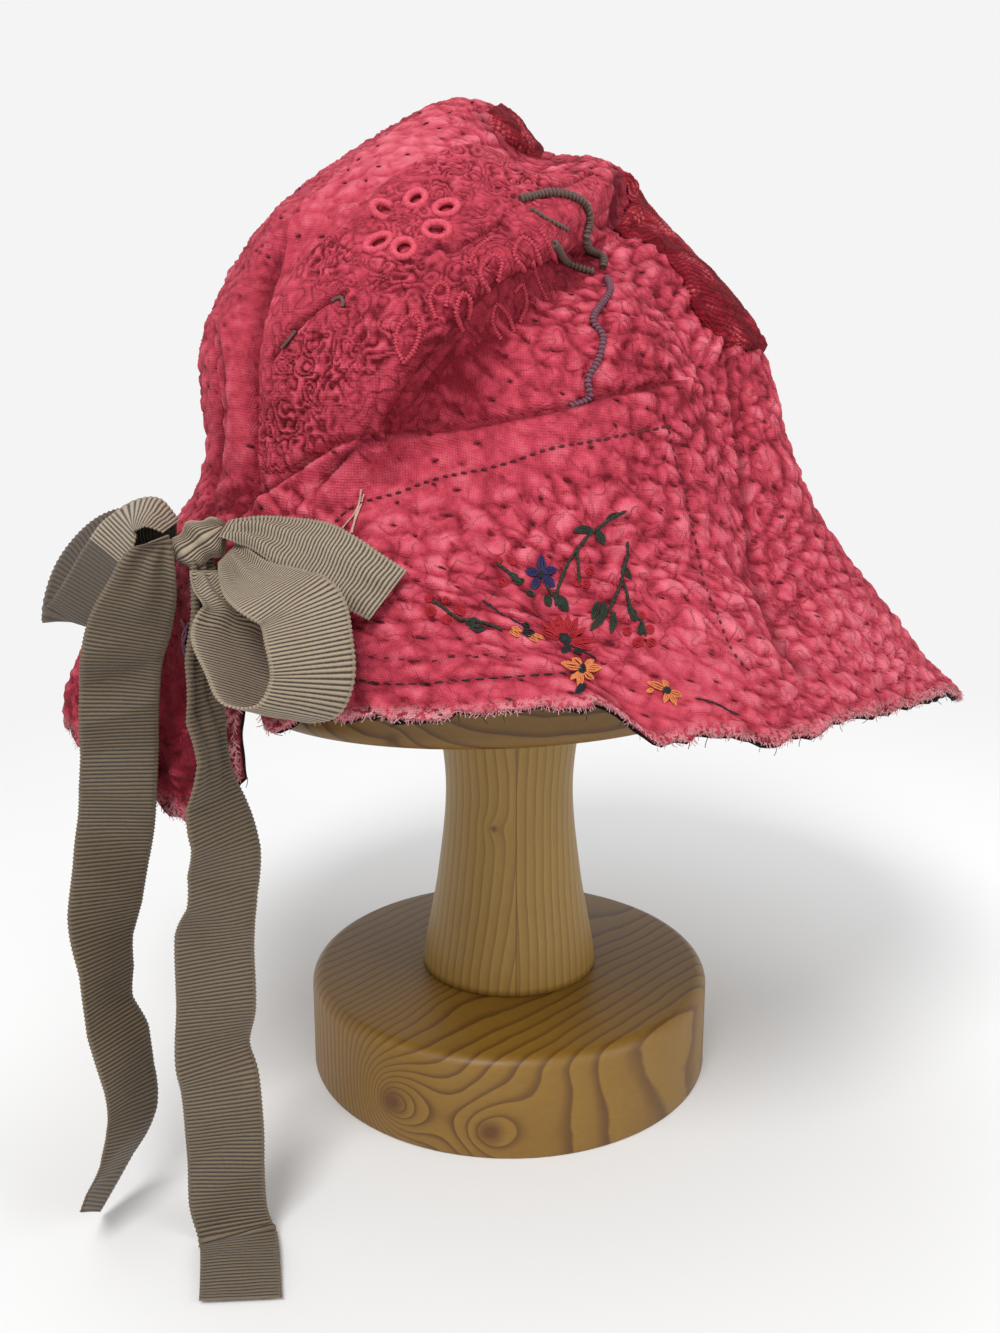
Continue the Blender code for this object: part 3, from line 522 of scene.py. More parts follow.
# Folds: rise and its reach, dip and its reach, width of the step between them, as shares of the
# length, then a route of (turn, height) places. The cloth rises left of the route and dips right of it.
folds = {"patchFold": (0.018, 0.110, 0.022, 0.075, 0.013,
    ((88, 0.85), (56, 0.77), (40, 0.66), (27, 0.555))), "topHollow": (-0.034, 0.050, 0.034, 0.050, 0.010,
    ((58, 0.90), (90, 0.955), (150, 0.97), (205, 0.90))),
    "backPleat": (-0.012, 0.020, 0.012, 0.020, 0.007, ((2, 0.76), (-1, 0.62), (-1, 0.47))),
    "backTube": (0.012, 0.040, -0.012, 0.040, 0.010, ((-4, 0.80), (-9, 0.68), (-8, 0.55))),
    "farPleat": (-0.014, 0.018, 0.014, 0.018, 0.007, ((-17, 0.70), (-14, 0.59), (-18, 0.50))),
    "sideRidge": (0.010, 0.060, -0.010, 0.060, 0.010, ((100, 0.84), (104, 0.72), (108, 0.62))),
    "frontFold": (-0.016, 0.050, 0.016, 0.050, 0.010, ((86, 0.70), (92, 0.60), (90, 0.45), (86, 0.33))),
    "brimWave": (0.014, 0.090, -0.014, 0.090, 0.010, ((104, 0.48), (112, 0.32), (116, 0.20))),
    "flapFold": (-0.020, 0.040, 0.020, 0.040, 0.010, ((372, 0.34), (362, 0.22), (350, 0.16))),}


def bellPoint(turn, level):
    # The smooth bell at turn degrees and level rows down the sections.
    scales = np.array((1, hatForm["length"], hatForm["width"], hatForm["length"], hatForm["width"]))
    row = catmull(bellSections * scales, level)
    angle = np.radians(turn)
    along, across = -np.cos(angle), -np.sin(angle)
    tiny = 0.001 * mm
    length = np.maximum(np.where(along >= 0, row[..., 1], row[..., 3]), tiny)
    width = np.maximum(np.where(across >= 0, row[..., 2], row[..., 4]), tiny)
    power = hatForm["ovalPower"]
    reach = (np.abs(along / length) ** power + np.abs(across / width) ** power) ** (-1 / power)
    azimuth = math.radians(hatForm["frontAzimuth"] + 180) + angle
    height = hatForm["foot"] + row[..., 0] * hatForm["height"]
    centre = hatForm["centre"]
    return np.stack((centre[0] + reach * np.cos(azimuth), centre[1] + reach * np.sin(azimuth), height),
        axis=-1)


def levelAt(share):
    return placeOf(-bellSections[:, 0], -np.asarray(share))


def hemLevel(share):
    turns, shares = zip(*hemLine)
    return float(levelAt(catmull(shares, placeOf(turns, hatForm["slitLean"] + share * 360))))


def bellColumn(share):
    # Points down one column, closely set: above the slit, then below it.
    slitLevel = float(levelAt(hatForm["slitHeight"]))
    bottom = hemLevel(share)
    parts = []
    for start, end in ((0.0, slitLevel), (slitLevel, bottom)):
        level = np.linspace(start, end, 160)
        opened = np.clip((level - slitLevel) / (bottom - slitLevel), 0, 1)
        edge = np.where(share < 0.5, 1, -1) * np.abs(1 - 2 * share) ** 8
        lean = hatForm["slitLean"] + (hatForm["flapLean"] - hatForm["slitLean"]) * smoothStep((share - 0.8)
            / 0.2)
        turn = share * 360 + lean * opened + hatForm["slitOpening"] * edge * np.sqrt(opened)
        points = bellPoint(turn, level)
        farTurns, nearTurns = hatForm["flapTuckTurns"], hatForm["nearTuckTurns"]
        farShare = (share * 360 - farTurns[0]) / (farTurns[1] - farTurns[0])
        nearShare = (nearTurns[1] - turn) / (nearTurns[1] - nearTurns[0])
        tuck = hatForm["flapTuck"] * smoothStep(farShare) + hatForm["nearTuck"] * smoothStep(nearShare)
        tuck = tuck * smoothStep(opened * 1.6)
        azimuth = math.radians(hatForm["frontAzimuth"] + 180) + np.radians(turn)
        points[:, 0] -= tuck * np.cos(azimuth)
        points[:, 1] -= tuck * np.sin(azimuth)
        parts.append(points)
    return parts


def spacedAlong(points, count, start=0.0, end=1.0):
    # count + 1 points at even steps along a line of points.
    run = np.concatenate(([0], np.cumsum(np.linalg.norm(np.diff(points, axis=0), axis=1))))
    wanted = np.linspace(start * run[-1], end * run[-1], count + 1)
    return np.stack([np.interp(wanted, run, points[:, axis]) for axis in range(3)], axis=-1)


def bellGrid(shares, crownRows, brimRows):
    grid = []
    for share in shares:
        crown, brim = bellColumn(share)
        upper = spacedAlong(crown, crownRows)
        grid.append(np.concatenate((upper, spacedAlong(brim, brimRows)[1:])) if brimRows else upper)
    return np.array(grid)


def gridNormals(grid, crownRows, closed=True):
    # Outward normals. Down to crownRows the first and last columns meet.
    around = np.empty_like(grid)
    around[1:-1] = grid[2:] - grid[:-2]
    around[0] = grid[1] - grid[0]
    around[-1] = grid[-1] - grid[-2]
    if closed:
        meeting = normalised(grid[1, :crownRows + 1] - grid[0, :crownRows + 1])
        meeting = meeting + normalised(grid[-1, :crownRows + 1] - grid[-2, :crownRows + 1])
        around[0, :crownRows + 1] = meeting
        around[-1, :crownRows + 1] = meeting
    normal = np.cross(np.gradient(grid, axis=1), around)
    normal[:, 0] = (0, 0, 1)
    return normalised(normal)


def foldShift(points, normals, row):
    rise, riseReach, dip, dipReach, step, route = row
    places = [bellPoint(float(turn), float(levelAt(share))) for turn, share in route]
    best = np.full(points.shape[:-1], 1e9)
    side = np.zeros(points.shape[:-1])
    for start, end in zip(places[:-1], places[1:]):
        along = end - start
        share = np.clip(((points - start) @ along) / (along @ along), 0, 1)
        offset = points - (start + share[..., None] * along)
        away = np.linalg.norm(offset, axis=-1)
        left = np.cross(along / np.linalg.norm(along), normals)
        nearer = away < best
        best = np.where(nearer, away, best)
        side = np.where(nearer, np.sum(offset * left, axis=-1), side)
    length = hatForm["length"]
    over = 0.5 * (1 + np.tanh(side / (step * length)))
    up = rise * np.exp(-(best / (riseReach * length)) ** 2)
    down = dip * np.exp(-(best / (dipReach * length)) ** 2)
    return length * (over * up - (1 - over) * down)


def foldedGrid(grid, crownRows, closed=True, fromTop=True):
    normals = gridNormals(grid, crownRows, closed)
    shift = sum(foldShift(grid, normals, row) for row in folds.values())
    if fromTop:
        shift[:, 0] = shift[:, 0].mean()
    if closed:
        shift[-1, :crownRows + 1] = shift[0, :crownRows + 1]
    grid = grid + normals * shift[..., None]
    return grid, gridNormals(grid, crownRows, closed)


# Seams, stitch lines and creases of the near side, their grooves painted dark as painted shade: the
# groove's depth and width, then the lift of the cloth left of the route (looking along it) and that lift's
# reach, all in mm, and the route in photo pixels.
seams = {"tuckEdge": (2.8, 1.15, -2.6, 8.0, ((320, 482), (348, 455), (376, 438), (415, 432), (457, 428),
    (512, 417), (568, 406), (605, 395), (640, 388), (672, 382))),
    "weltRidge": (-1.9, 1.6, 0, 1, ((238, 526), (270, 502), (310, 470), (345, 450), (400, 440),
    (460, 433))), "weltShade": (1.9, 1.0, 0, 1, ((234, 520), (266, 494), (306, 461), (342, 441),
    (392, 432))), "dashedLine": (0.6, 0.7, 0, 1, ((336, 521), (350, 509), (370, 500), (398, 493),
    (439, 478), (494, 467), (550, 449), (600, 440), (640, 432), (668, 427))),
    "dottedLine": (0.5, 0.8, 0, 1, ((669, 432), (675, 458), (684, 488), (690, 517), (699, 558), (704, 584),
    (716, 611), (731, 649), (748, 670))), "panelSeam": (1.5, 1.0, 0.5, 5.0,
    ((728, 340), (734, 403), (740, 447), (743, 470), (748, 520), (757, 579), (772, 623), (787, 652),
    (807, 672))), "slitUpper": (1.2, 0.8, 0, 1, ((788, 605), (800, 616), (811, 624))),
    "slitLower": (1.0, 0.8, 0, 1, ((792, 568), (802, 580), (811, 592))),
    "hemStitch": (0.7, 0.9, 0.3, 4.0, ((340, 676), (358, 680), (400, 684), (440, 682), (480, 679),
    (530, 675), (575, 672))), "upperHem": (0.6, 0.9, 0.3, 3.0,
    ((345, 650), (358, 655), (400, 659), (430, 661), (460, 656), (490, 655), (520, 660))),
    "overhang": (5.2, 2.2, -6.0, 13.0, ((575, 255), (560, 262), (515, 280), (478, 309), (445, 345),
    (412, 382), (392, 425))), "backPleatLine": (3.0, 1.5, 2.6, 9.0,
    ((278, 260), (261, 319), (254, 371), (258, 397), (256, 450), (254, 500))),
    "farPleatLine": (2.4, 1.4, 1.6, 7.0, ((213, 330), (221, 404), (217, 460), (210, 520))),
    "flapCrease": (2.4, 1.6, 0.8, 5.0, ((205, 725), (185, 745), (160, 770))),
    "flapFoldUpper": (2.0, 1.6, 1.6, 7.0, ((200, 640), (192, 680), (188, 715), (176, 740))),
    "flapFoldLower": (1.6, 1.4, 1.2, 6.0, ((215, 735), (200, 768), (172, 800))),
    "peakValley": (1.2, 1.6, 0, 1, ((480, 112), (505, 140), (530, 152), (570, 150))),
    "knobHollow": (2.2, 2.4, 0, 1, ((624, 160), (622, 190), (617, 222), (640, 228))),}

quilting = {"rowPitch": 7.6 * mm, "stitchPitch": 9.4 * mm, "slowWarp": 4.6 * mm, "fastWarp": 2.0 * mm,
    "puff": 1.75 * mm, "crease": 3.1 * mm, "dimple": 0.80 * mm, "lumps": 0.40 * mm, "stretch": 0.62,
    "rowTilt": -0.10, "seed": 4,}

# places of the near side where the quilting lies flatter: pixel place, reach in pixels, share that is left
calmPlaces = (((430, 455), 70, 0.30), ((520, 440), 50, 0.35), ((600, 420), 45, 0.45),
    ((360, 470), 50, 0.30), ((240, 330), 60, 0.25), ((235, 430), 55, 0.25), ((300, 230), 65, 0.35),
    ((400, 150), 60, 0.45), ((500, 370), 55, 0.45), ((460, 668), 40, 0.40), ((380, 670), 40, 0.40),
    ((540, 690), 40, 0.45), ((700, 690), 50, 0.55), ((660, 700), 40, 0.5),)


def nearestOnLine(x, y, line):
    # Distance of each place from a broken line, its side, positive to the left, and whether it is inside,
    # where the line is closed.
    best, side = np.full(x.shape, 1e9), np.zeros(x.shape)
    inside = np.zeros(x.shape, dtype=bool)
    for start, end in zip(line[:-1], line[1:]):
        along = end - start
        share = np.clip(((x - start[0]) * along[0] + (y - start[1]) * along[1]) / (along @ along), 0, 1)
        dx, dy = x - start[0] - share * along[0], y - start[1] - share * along[1]
        away = np.hypot(dx, dy)
        side = np.where(away < best, dx * along[1] - dy * along[0], side)
        best = np.minimum(best, away)
        rise = along[1] if abs(along[1]) > 1e-9 else 1e-9
        inside ^= ((start[1] > y) != (end[1] > y)) & (x < start[0] + (y - start[1]) / rise * along[0])
    return best, side, inside


def spotShare(x, y, spot, reach):
    return np.exp(-(((x - spot[0]) / reach) ** 2 + ((y - spot[1]) / reach) ** 2))


def facingCamera(points, normals):
    toCamera = normalised(np.array(camera["place"]) - points)
    return smoothStep(np.sum(normals * toCamera, axis=-1) * 5)


leanedAxes = np.array(((0.80, 0.36, -0.48), (-0.60, 0.48, -0.64), (0.0, 0.80, 0.60)))


def pillows(points, size, seed):
    # Rounded lumps of that size, from 0 in the creases between them to 1.
    both = clothNoise(points, size, seed) + clothNoise(points @ leanedAxes, size * 0.93, seed + 1)
    return np.clip(np.abs(both) * 1.7, 0, 1) ** 0.45


def jitter(row, spot, kind, reach):
    return (hashed(row, spot, kind, quilting["seed"]) - 0.5) * reach


def quiltRelief(around, down, points, calm):
    # Height of the quilting, and how deep each place lies in a stitch. around and down are run lengths.
    form = quilting
    warpA = clothNoise(points, 21 * mm, 1) * form["slowWarp"] + clothNoise(points, 8.5 * mm,
        2) * form["fastWarp"]
    warpB = clothNoise(points, 23 * mm, 3) * form["slowWarp"] + clothNoise(points, 7.5 * mm,
        5) * form["fastWarp"]
    v = (down + around * form["rowTilt"] + warpA) / form["rowPitch"]
    rowNumber = np.floor(v)
    u = (around + warpB) / form["stitchPitch"]
    lumps = clothNoise(points, 6.0 * mm, 6)
    small = clothNoise(points, 2.1 * mm, 7)
    # a pillow between each four stitches, with a crease where it meets the next
    nearest, second = np.full(points.shape[:-1], 1.0), np.full(points.shape[:-1], 1.0)
    for rowStep in (-1, 0, 1):
        row = rowNumber + rowStep
        offset = jitter(row, 0, 4, 1.0) + 0.5
        for cellStep in (-1, 0, 1):
            spot = np.floor(u + offset) + cellStep
            du = (u + offset - spot - 0.5 - jitter(row, spot, 5,
                0.75)) * form["stitchPitch"] * form["stretch"]
            away = np.hypot(du, (v - row - 0.5 - jitter(row, spot, 6, 0.80)) * form["rowPitch"])
            second = np.minimum(second, np.maximum(nearest, away))
            nearest = np.minimum(nearest, away)
    dome = 1 - np.exp(-(second - nearest) / form["crease"])
    height = form["puff"] * dome * (0.78 + 0.42 * lumps) + form["lumps"] * (pillows(points, 3.8 * mm, 14)
        - 0.6)
    stitch = np.zeros(points.shape[:-1])
    for rowStep in (0, 1):
        row = rowNumber + rowStep
        offset = jitter(row, 0, 3, 1.0) + 0.5
        for cellStep in (-1, 0, 1):
            spot = np.floor(u + offset) + cellStep
            du = (u + offset - spot - 0.5 - jitter(row, spot, 1, 0.5)) * form["stitchPitch"]
            dv = (v - row - jitter(row, spot, 2, 0.22)) * form["rowPitch"] + du * jitter(row, spot, 7, 1.4)
            stitch = np.maximum(stitch, np.exp(-(du / (1.10 * mm)) ** 4 - (dv / (0.50 * mm)) ** 2))
    height = height - form["puff"] * 0.42 + 0.22 * mm * small
    height = height * calm - form["dimple"] * stitch * (0.35 + 0.65 * calm)
    height = height + 0.16 * mm * clothNoise(points, 1.4 * mm, 8)
    return height, stitch


panelOutline = ((-0.243, 0.500), (-0.247, 0.592), (-0.230, 0.671), (-0.200, 0.746), (-0.150, 0.800),
    (-0.107, 0.860), (-0.033, 0.905), (0.033, 0.885), (0.088, 0.880), (0.104, 0.840), (0.043, 0.771),
    (0.007, 0.713), (-0.030, 0.658), (-0.057, 0.608), (-0.093, 0.554), (-0.170, 0.528),)
redPatch = {"turns": (122, 200), "reach": (0.18, 0.64)}


def insidePanel(points):
    # How far each place lies inside the cut-work panel's outline, seen from the near side, in metres.
    corners = np.array(panelOutline)
    closed = np.concatenate((corners[-1:], corners, corners[:2]))
    outline = catmull(closed, 1 + np.arange(5 * len(corners) + 1) / 5)
    outline = outline * (hatForm["length"], hatForm["height"]) + (0, hatForm["foot"])
    best, _, inside = nearestOnLine(points[..., 0], points[..., 2], outline)
    return np.where(inside & (points[..., 1] < 0.01), best, -best)


# places where the cloth is painted darker or lighter, painted shade under folds and on the flap, whose
# deeper red is partly its own colour, and painted light on the top and the brim: pixel place, reach in
# pixels, change of tone
paintedLightPlaces = (((180, 700), 80, -0.9), ((215, 640), 45, -0.4), ((525, 288), 20, -0.6),
    ((482, 325), 20, -0.6), ((440, 370), 22, -0.6), ((400, 412), 18, -0.5), ((235, 700), 30, 0.35),
    ((470, 300), 60, -0.12), ((480, 370), 45, -0.22), ((450, 400), 40, -0.15), ((240, 500), 40, -0.18),
    ((350, 480), 40, 0.14), ((700, 640), 80, 0.22), ((860, 640), 80, 0.22), ((440, 130), 60, 0.16),
    ((360, 170), 60, 0.16), ((420, 560), 60, -0.04),)


def paintedLightShift(points, normals):
    # painted light and painted shade at the drawn places, only where the cloth faces the camera
    x, y, _ = pixelOf(points)
    change = sum(shift * spotShare(x, y, spot, reach) for spot, reach, shift in paintedLightPlaces)
    return change * facingCamera(points, normals)


def seamRelief(points, normals, routes=seams, fullDepth=2.0):
    # Height of the seams and their painted shade. A groove as deep as fullDepth is painted wholly dark.
    x, y, depth = pixelOf(points)
    facing = facingCamera(points, normals)
    height, dark = np.zeros(x.shape), np.zeros(x.shape)
    for deep, wide, lift, reach, route in routes.values():
        fine = catmull(route, np.linspace(0, len(route) - 1, 4 * (len(route) - 1) + 1))
        away, side, _ = nearestOnLine(x, y, fine)
        away = away * depth / camera["focalPixels"] / mm
        groove = np.exp(-(away / wide) ** 2)
        stepped = np.tanh(np.sign(side) * away / (0.5 * wide)) * np.exp(-(away / reach) ** 2)
        height += (0.5 * lift * stepped - deep * groove) * mm * facing
        dark = np.maximum(dark, groove * facing * np.clip(deep / fullDepth, 0, 1))
    return height, dark


def calmShare(points, normals):
    x, y, _ = pixelOf(points)
    facing = facingCamera(points, normals)
    return np.prod([1 - (1 - left) * spotShare(x, y, spot, reach) * facing for spot, reach,
        left in calmPlaces], axis=0)


def runLengths(grid):
    # Run along the cloth round the hat and down it, for every point of the grid.
    around = np.zeros(grid.shape[:2])
    around[1:] = np.cumsum(np.linalg.norm(np.diff(grid, axis=0), axis=-1), axis=0)
    down = np.zeros(grid.shape[:2])
    down[:, 1:] = np.cumsum(np.linalg.norm(np.diff(grid, axis=1), axis=-1), axis=1)
    return around, down


def clothMap(grid):
    return np.stack(runLengths(grid), axis=-1) / mm


def makeShellGrid():
    near, far = hatForm["nearColumns"], hatForm["farColumns"]
    flap = hatForm["flapColumns"]
    shares = np.concatenate((np.linspace(0, hatForm["nearShare"], near + 1),
        np.linspace(hatForm["nearShare"], hatForm["flapShare"], far - flap + 1)[1:],
        np.linspace(hatForm["flapShare"], 1, flap + 1)[1:]))
    crownRows, brimRows = hatForm["crownRows"], hatForm["brimRows"]
    grid, normals = foldedGrid(bellGrid(shares, crownRows, brimRows), crownRows)
    # the hem is ragged
    run = normalised(grid[:, -1:] - grid[:, -4:-3])
    ragged = clothNoise(grid[:, -1:], 7 * mm, 51) * 0.7 + clothNoise(grid[:, -1:], 2.6 * mm, 52) * 0.7
    reach = np.clip(np.arange(grid.shape[1]) - (grid.shape[1] - 4), 0, 3) / 3
    grid = grid + run * (ragged * hatForm["ragged"])[..., None] * reach[None, :, None]
    around, down = runLengths(grid)
    seamed, dark = seamRelief(grid, normals)
    calm = calmShare(grid, normals)
    quilted, stitch = quiltRelief(around, down, grid, calm)
    panel = smoothStep(insidePanel(grid) / (3 * mm))
    # within the red patch's bounds the quilting lies under it
    turns = shares * 360
    rows = np.arange(grid.shape[1]) / crownRows
    inTurns = smoothStep((turns - redPatch["turns"][0]) / 3) * smoothStep((redPatch["turns"][1] - turns)
        / 3)
    inRows = smoothStep((rows - redPatch["reach"][0]) / 0.03) * smoothStep((redPatch["reach"][1] - rows)
        / 0.03)
    covered = np.maximum(panel, inTurns[:, None] * inRows[None, :])
    height = seamed + quilted * (1 - covered) - 0.2 * mm * covered
    height[:, 0] = height[:, 0].mean()
    fade = smoothStep(rows / 0.03)
    height = height * fade[None, :]
    height[-1, :crownRows + 1] = height[0, :crownRows + 1]
    outer = grid + normals * height[..., None]
    mask = np.zeros((*grid.shape[:2], 4))
    # lighter on ridge tops and deeper in hollows, partly wear and partly painted highlight and shade, with
    # painted light and shade at the drawn places
    mask[..., 0] = np.clip(0.57 + quilted / (1.8 * mm) + paintedLightShift(grid, normals), 0, 1)
    # stitch marks, partly thread colour and partly painted shade in their dimples, and painted shade in the
    # seam grooves
    mask[..., 1] = np.clip(np.maximum(stitch ** 2 * 0.95, dark * 0.9), 0, 1)
    hemShare = np.clip((grid.shape[1] - 1 - np.arange(grid.shape[1])) / 4.5, 0, 1)
    rawEdge = (1 - hemShare)[None, :] * (0.6 + 0.4 * clothNoise(grid, 3 * mm, 9))
    mask[..., 2] = np.clip(rawEdge, 0, 1)
    # the flap is torn and pale along the slit
    torn = smoothStep((shares - 0.975) / 0.012)[:, None] * smoothStep((rows - 1.02) / 0.05)[None, :]
    mask[..., 2] = np.maximum(mask[..., 2], torn * np.clip(0.45 + clothNoise(grid, 4 * mm, 53), 0, 0.8))
    mask[..., 3] = np.clip(calm * (1 - covered), 0, 1)
    return {"smooth": grid, "normals": normals, "outer": outer, "mask": mask, "around": around,
        "down": down, "stitch": stitch, "covered": covered}


def shellPiece(name, grid, first, last, look):
    # Columns first to last of the shell as a closed layer. The inner side has half the rows and columns.
    outer = grid["outer"][first:last + 1]
    inner = (grid["smooth"] - grid["normals"] * hatForm["wall"])[first:last + 1:2, ::2]
    columns, rows = outer.shape[0] - 1, outer.shape[1] - 1
    halfColumns, halfRows = inner.shape[0] - 1, inner.shape[1] - 1
    uvs = np.stack((grid["around"], grid["down"]), axis=-1)[first:last + 1] / mm
    mask = grid["mask"][first:last + 1]
    innerMask = np.zeros((halfColumns + 1, halfRows + 1, 4))
    innerMask[..., 0] = 0.25
    innerMask[..., 3] = 1

    def strung(values):
        # the pole is one vertex of each layer
        return np.concatenate((values[:1, 0], values[:, 1:].reshape(-1, values.shape[-1])))

    pairs = ((outer, inner), (uvs, uvs[::2, ::2]), (mask, innerMask))
    vertices, places, masks = (np.concatenate((strung(above), strung(below))) for above, below in pairs)
    base = 1 + (columns + 1) * rows

    def out(column, row):
        return 0 if row == 0 else 1 + column * rows + row - 1

    def within(column, row):
        return base if row == 0 else base + 1 + column * halfRows + row - 1

    faces = []
    for column in range(columns):
        faces.append((0, out(column, 1), out(column + 1, 1)))
        for row in range(1, rows):
            faces.append((out(column, row), out(column, row + 1), out(column + 1, row + 1),
                out(column + 1, row)))
    for column in range(halfColumns):
        faces.append((base, within(column + 1, 1), within(column, 1)))
        for row in range(1, halfRows):
            faces.append((within(column, row), within(column + 1, row), within(column + 1, row + 1),
                within(column, row + 1)))
        # hem
        faces.append((out(2 * column + 2, rows), out(2 * column + 1, rows), out(2 * column, rows),
            within(column, halfRows), within(column + 1, halfRows)))
    for row in range(halfRows):
        first, second = 2 * row, 2 * row + 1
        faces.append((out(0, second + 1), out(0, second), out(0, first), within(0, row),
            within(0, row + 1)))
        faces.append((out(columns, first), out(columns, second), out(columns, second + 1),
            within(halfColumns, row + 1), within(halfColumns, row)))
    return pieceFrom(name, vertices, faces, look, places, masks)


makeStand()
print("stand made")
shell = makeShellGrid()
nearCloth = shellPiece("quilted_shell_near", shell, 0, hatForm["nearColumns"], pinkLook)
dress(nearCloth, "pink_quilt", "hat_shell")
farCloth = shellPiece("quilted_shell_far", shell, hatForm["nearColumns"],
    hatForm["nearColumns"] + hatForm["farColumns"], pinkLook)
dress(farCloth, "pink_quilt")
print("shell made:", len(nearCloth.data.polygons), "and", len(farCloth.data.polygons), "faces")


# Panel with cut work, and the raw red patch at the front

rosettePixels = ((416, 200), (446, 209), (437, 231), (404, 249), (379, 243), (384, 211))

cutwork = {"turns": (-14, 118), "rows": 400, "columns": 380, "reach": (0.03, 1.0), "lift": 1.15 * mm,
    "sink": 0.6 * mm, "border": 2.6 * mm, "wall": 0.7 * mm, "curl": 5.2 * mm, "curlLines": 2.6,
    "ridge": 1.25 * mm, "wrinkle": 0.7 * mm,}
# how strongly the cloth is shredded and ruched: pixel place, reach in pixels, strength
ruchedPlaces = (((322, 372), 48, 1.0), ((292, 430), 44, 1.0), ((372, 348), 40, 0.9), ((452, 170), 34, 0.9),
    ((520, 180), 40, 0.9), ((590, 168), 30, 0.7), ((334, 262), 30, 0.9), ((398, 275), 34, 0.9),
    ((486, 236), 30, 0.6), ((430, 320), 34, 0.8), ((470, 290), 40, 0.7), ((520, 262), 36, 0.6),
    ((410, 222), 44, 0.55), ((350, 300), 26, 0.7), ((270, 470), 34, 0.9), ((560, 240), 26, 0.5),)
# long creases and cut slits of the panel, as the seams are given, their grooves painted dark as painted
# shade
panelCreases = {"longSlit": (1.8, 0.7, 0.4, 3, ((276, 362), (296, 336), (316, 314), (340, 298))),
    "borderFold": (1.2, 1.2, 0, 1, ((392, 452), (400, 420), (425, 385), (452, 348), (480, 322),
    (520, 292))), "topCrease": (1.0, 0.6, 0.4, 3, ((545, 196), (562, 190), (588, 178), (605, 166))),
    "middleTear": (1.3, 0.7, 0.5, 3, ((430, 256), (440, 250), (452, 256), (470, 246), (500, 228))),
    "leafEdge": (0.9, 0.6, 0.5, 3, ((330, 458), (350, 455), (372, 420), (380, 396), (384, 372))),}


def crownPatch(turns, columns, rows):
    shares = np.linspace(turns[0], turns[1], columns + 1) / 360
    return foldedGrid(bellGrid(shares, rows, 0), rows, closed=False)


def layerPiece(name, outer, inner, look, kept=True, uvs=None, masks=None):
    # A closed thin layer from the kept cells of two grids of the same shape.
    columns, rows = outer.shape[0] - 1, outer.shape[1] - 1
    size = (columns + 1) * (rows + 1)
    number = np.arange(size).reshape(columns + 1, rows + 1)
    cells = np.zeros((columns + 2, rows + 2), dtype=bool)
    cells[1:-1, 1:-1] = kept
    faces = []
    for column, row in zip(*np.nonzero(cells[1:-1, 1:-1])):
        corners = (number[column, row], number[column, row + 1], number[column + 1, row + 1],
            number[column + 1, row])
        faces += [corners, tuple(corner + size for corner in reversed(corners))]
        sides = ((0, 3, cells[column + 1, row]), (1, 0, cells[column, row + 1]),
            (2, 1, cells[column + 1, row + 2]), (3, 2, cells[column + 2, row + 1]))
        faces += [(corners[first], corners[second], corners[second] + size, corners[first] + size)
            for first, second, taken in sides if not taken]
    faces = np.array(faces)
    used = np.unique(faces)
    renumber = np.zeros(2 * size, dtype=np.int64)
    renumber[used] = np.arange(len(used))
    vertices = np.concatenate((outer.reshape(-1, 3), inner.reshape(-1, 3)))[used]
    uv, mask = (None if values is None else np.concatenate((values.reshape(size, -1),) * 2)[used]
        for values in (uvs, masks))
    return pieceFrom(name, vertices, renumber[faces].tolist(), look, uv, mask)


def onlyMain(kept):
    # Cells that touch only at a corner are left out, so that the layer stays closed.
    kept = kept.copy()
    for _ in range(4):
        crossed = kept[:-1, :-1] & kept[1:, 1:] & ~kept[1:, :-1] & ~kept[:-1, 1:]
        kept[:-1, :-1] &= ~crossed
        crossed = ~kept[:-1, :-1] & ~kept[1:, 1:] & kept[1:, :-1] & kept[:-1, 1:]
        kept[1:, :-1] &= ~crossed
    return kept


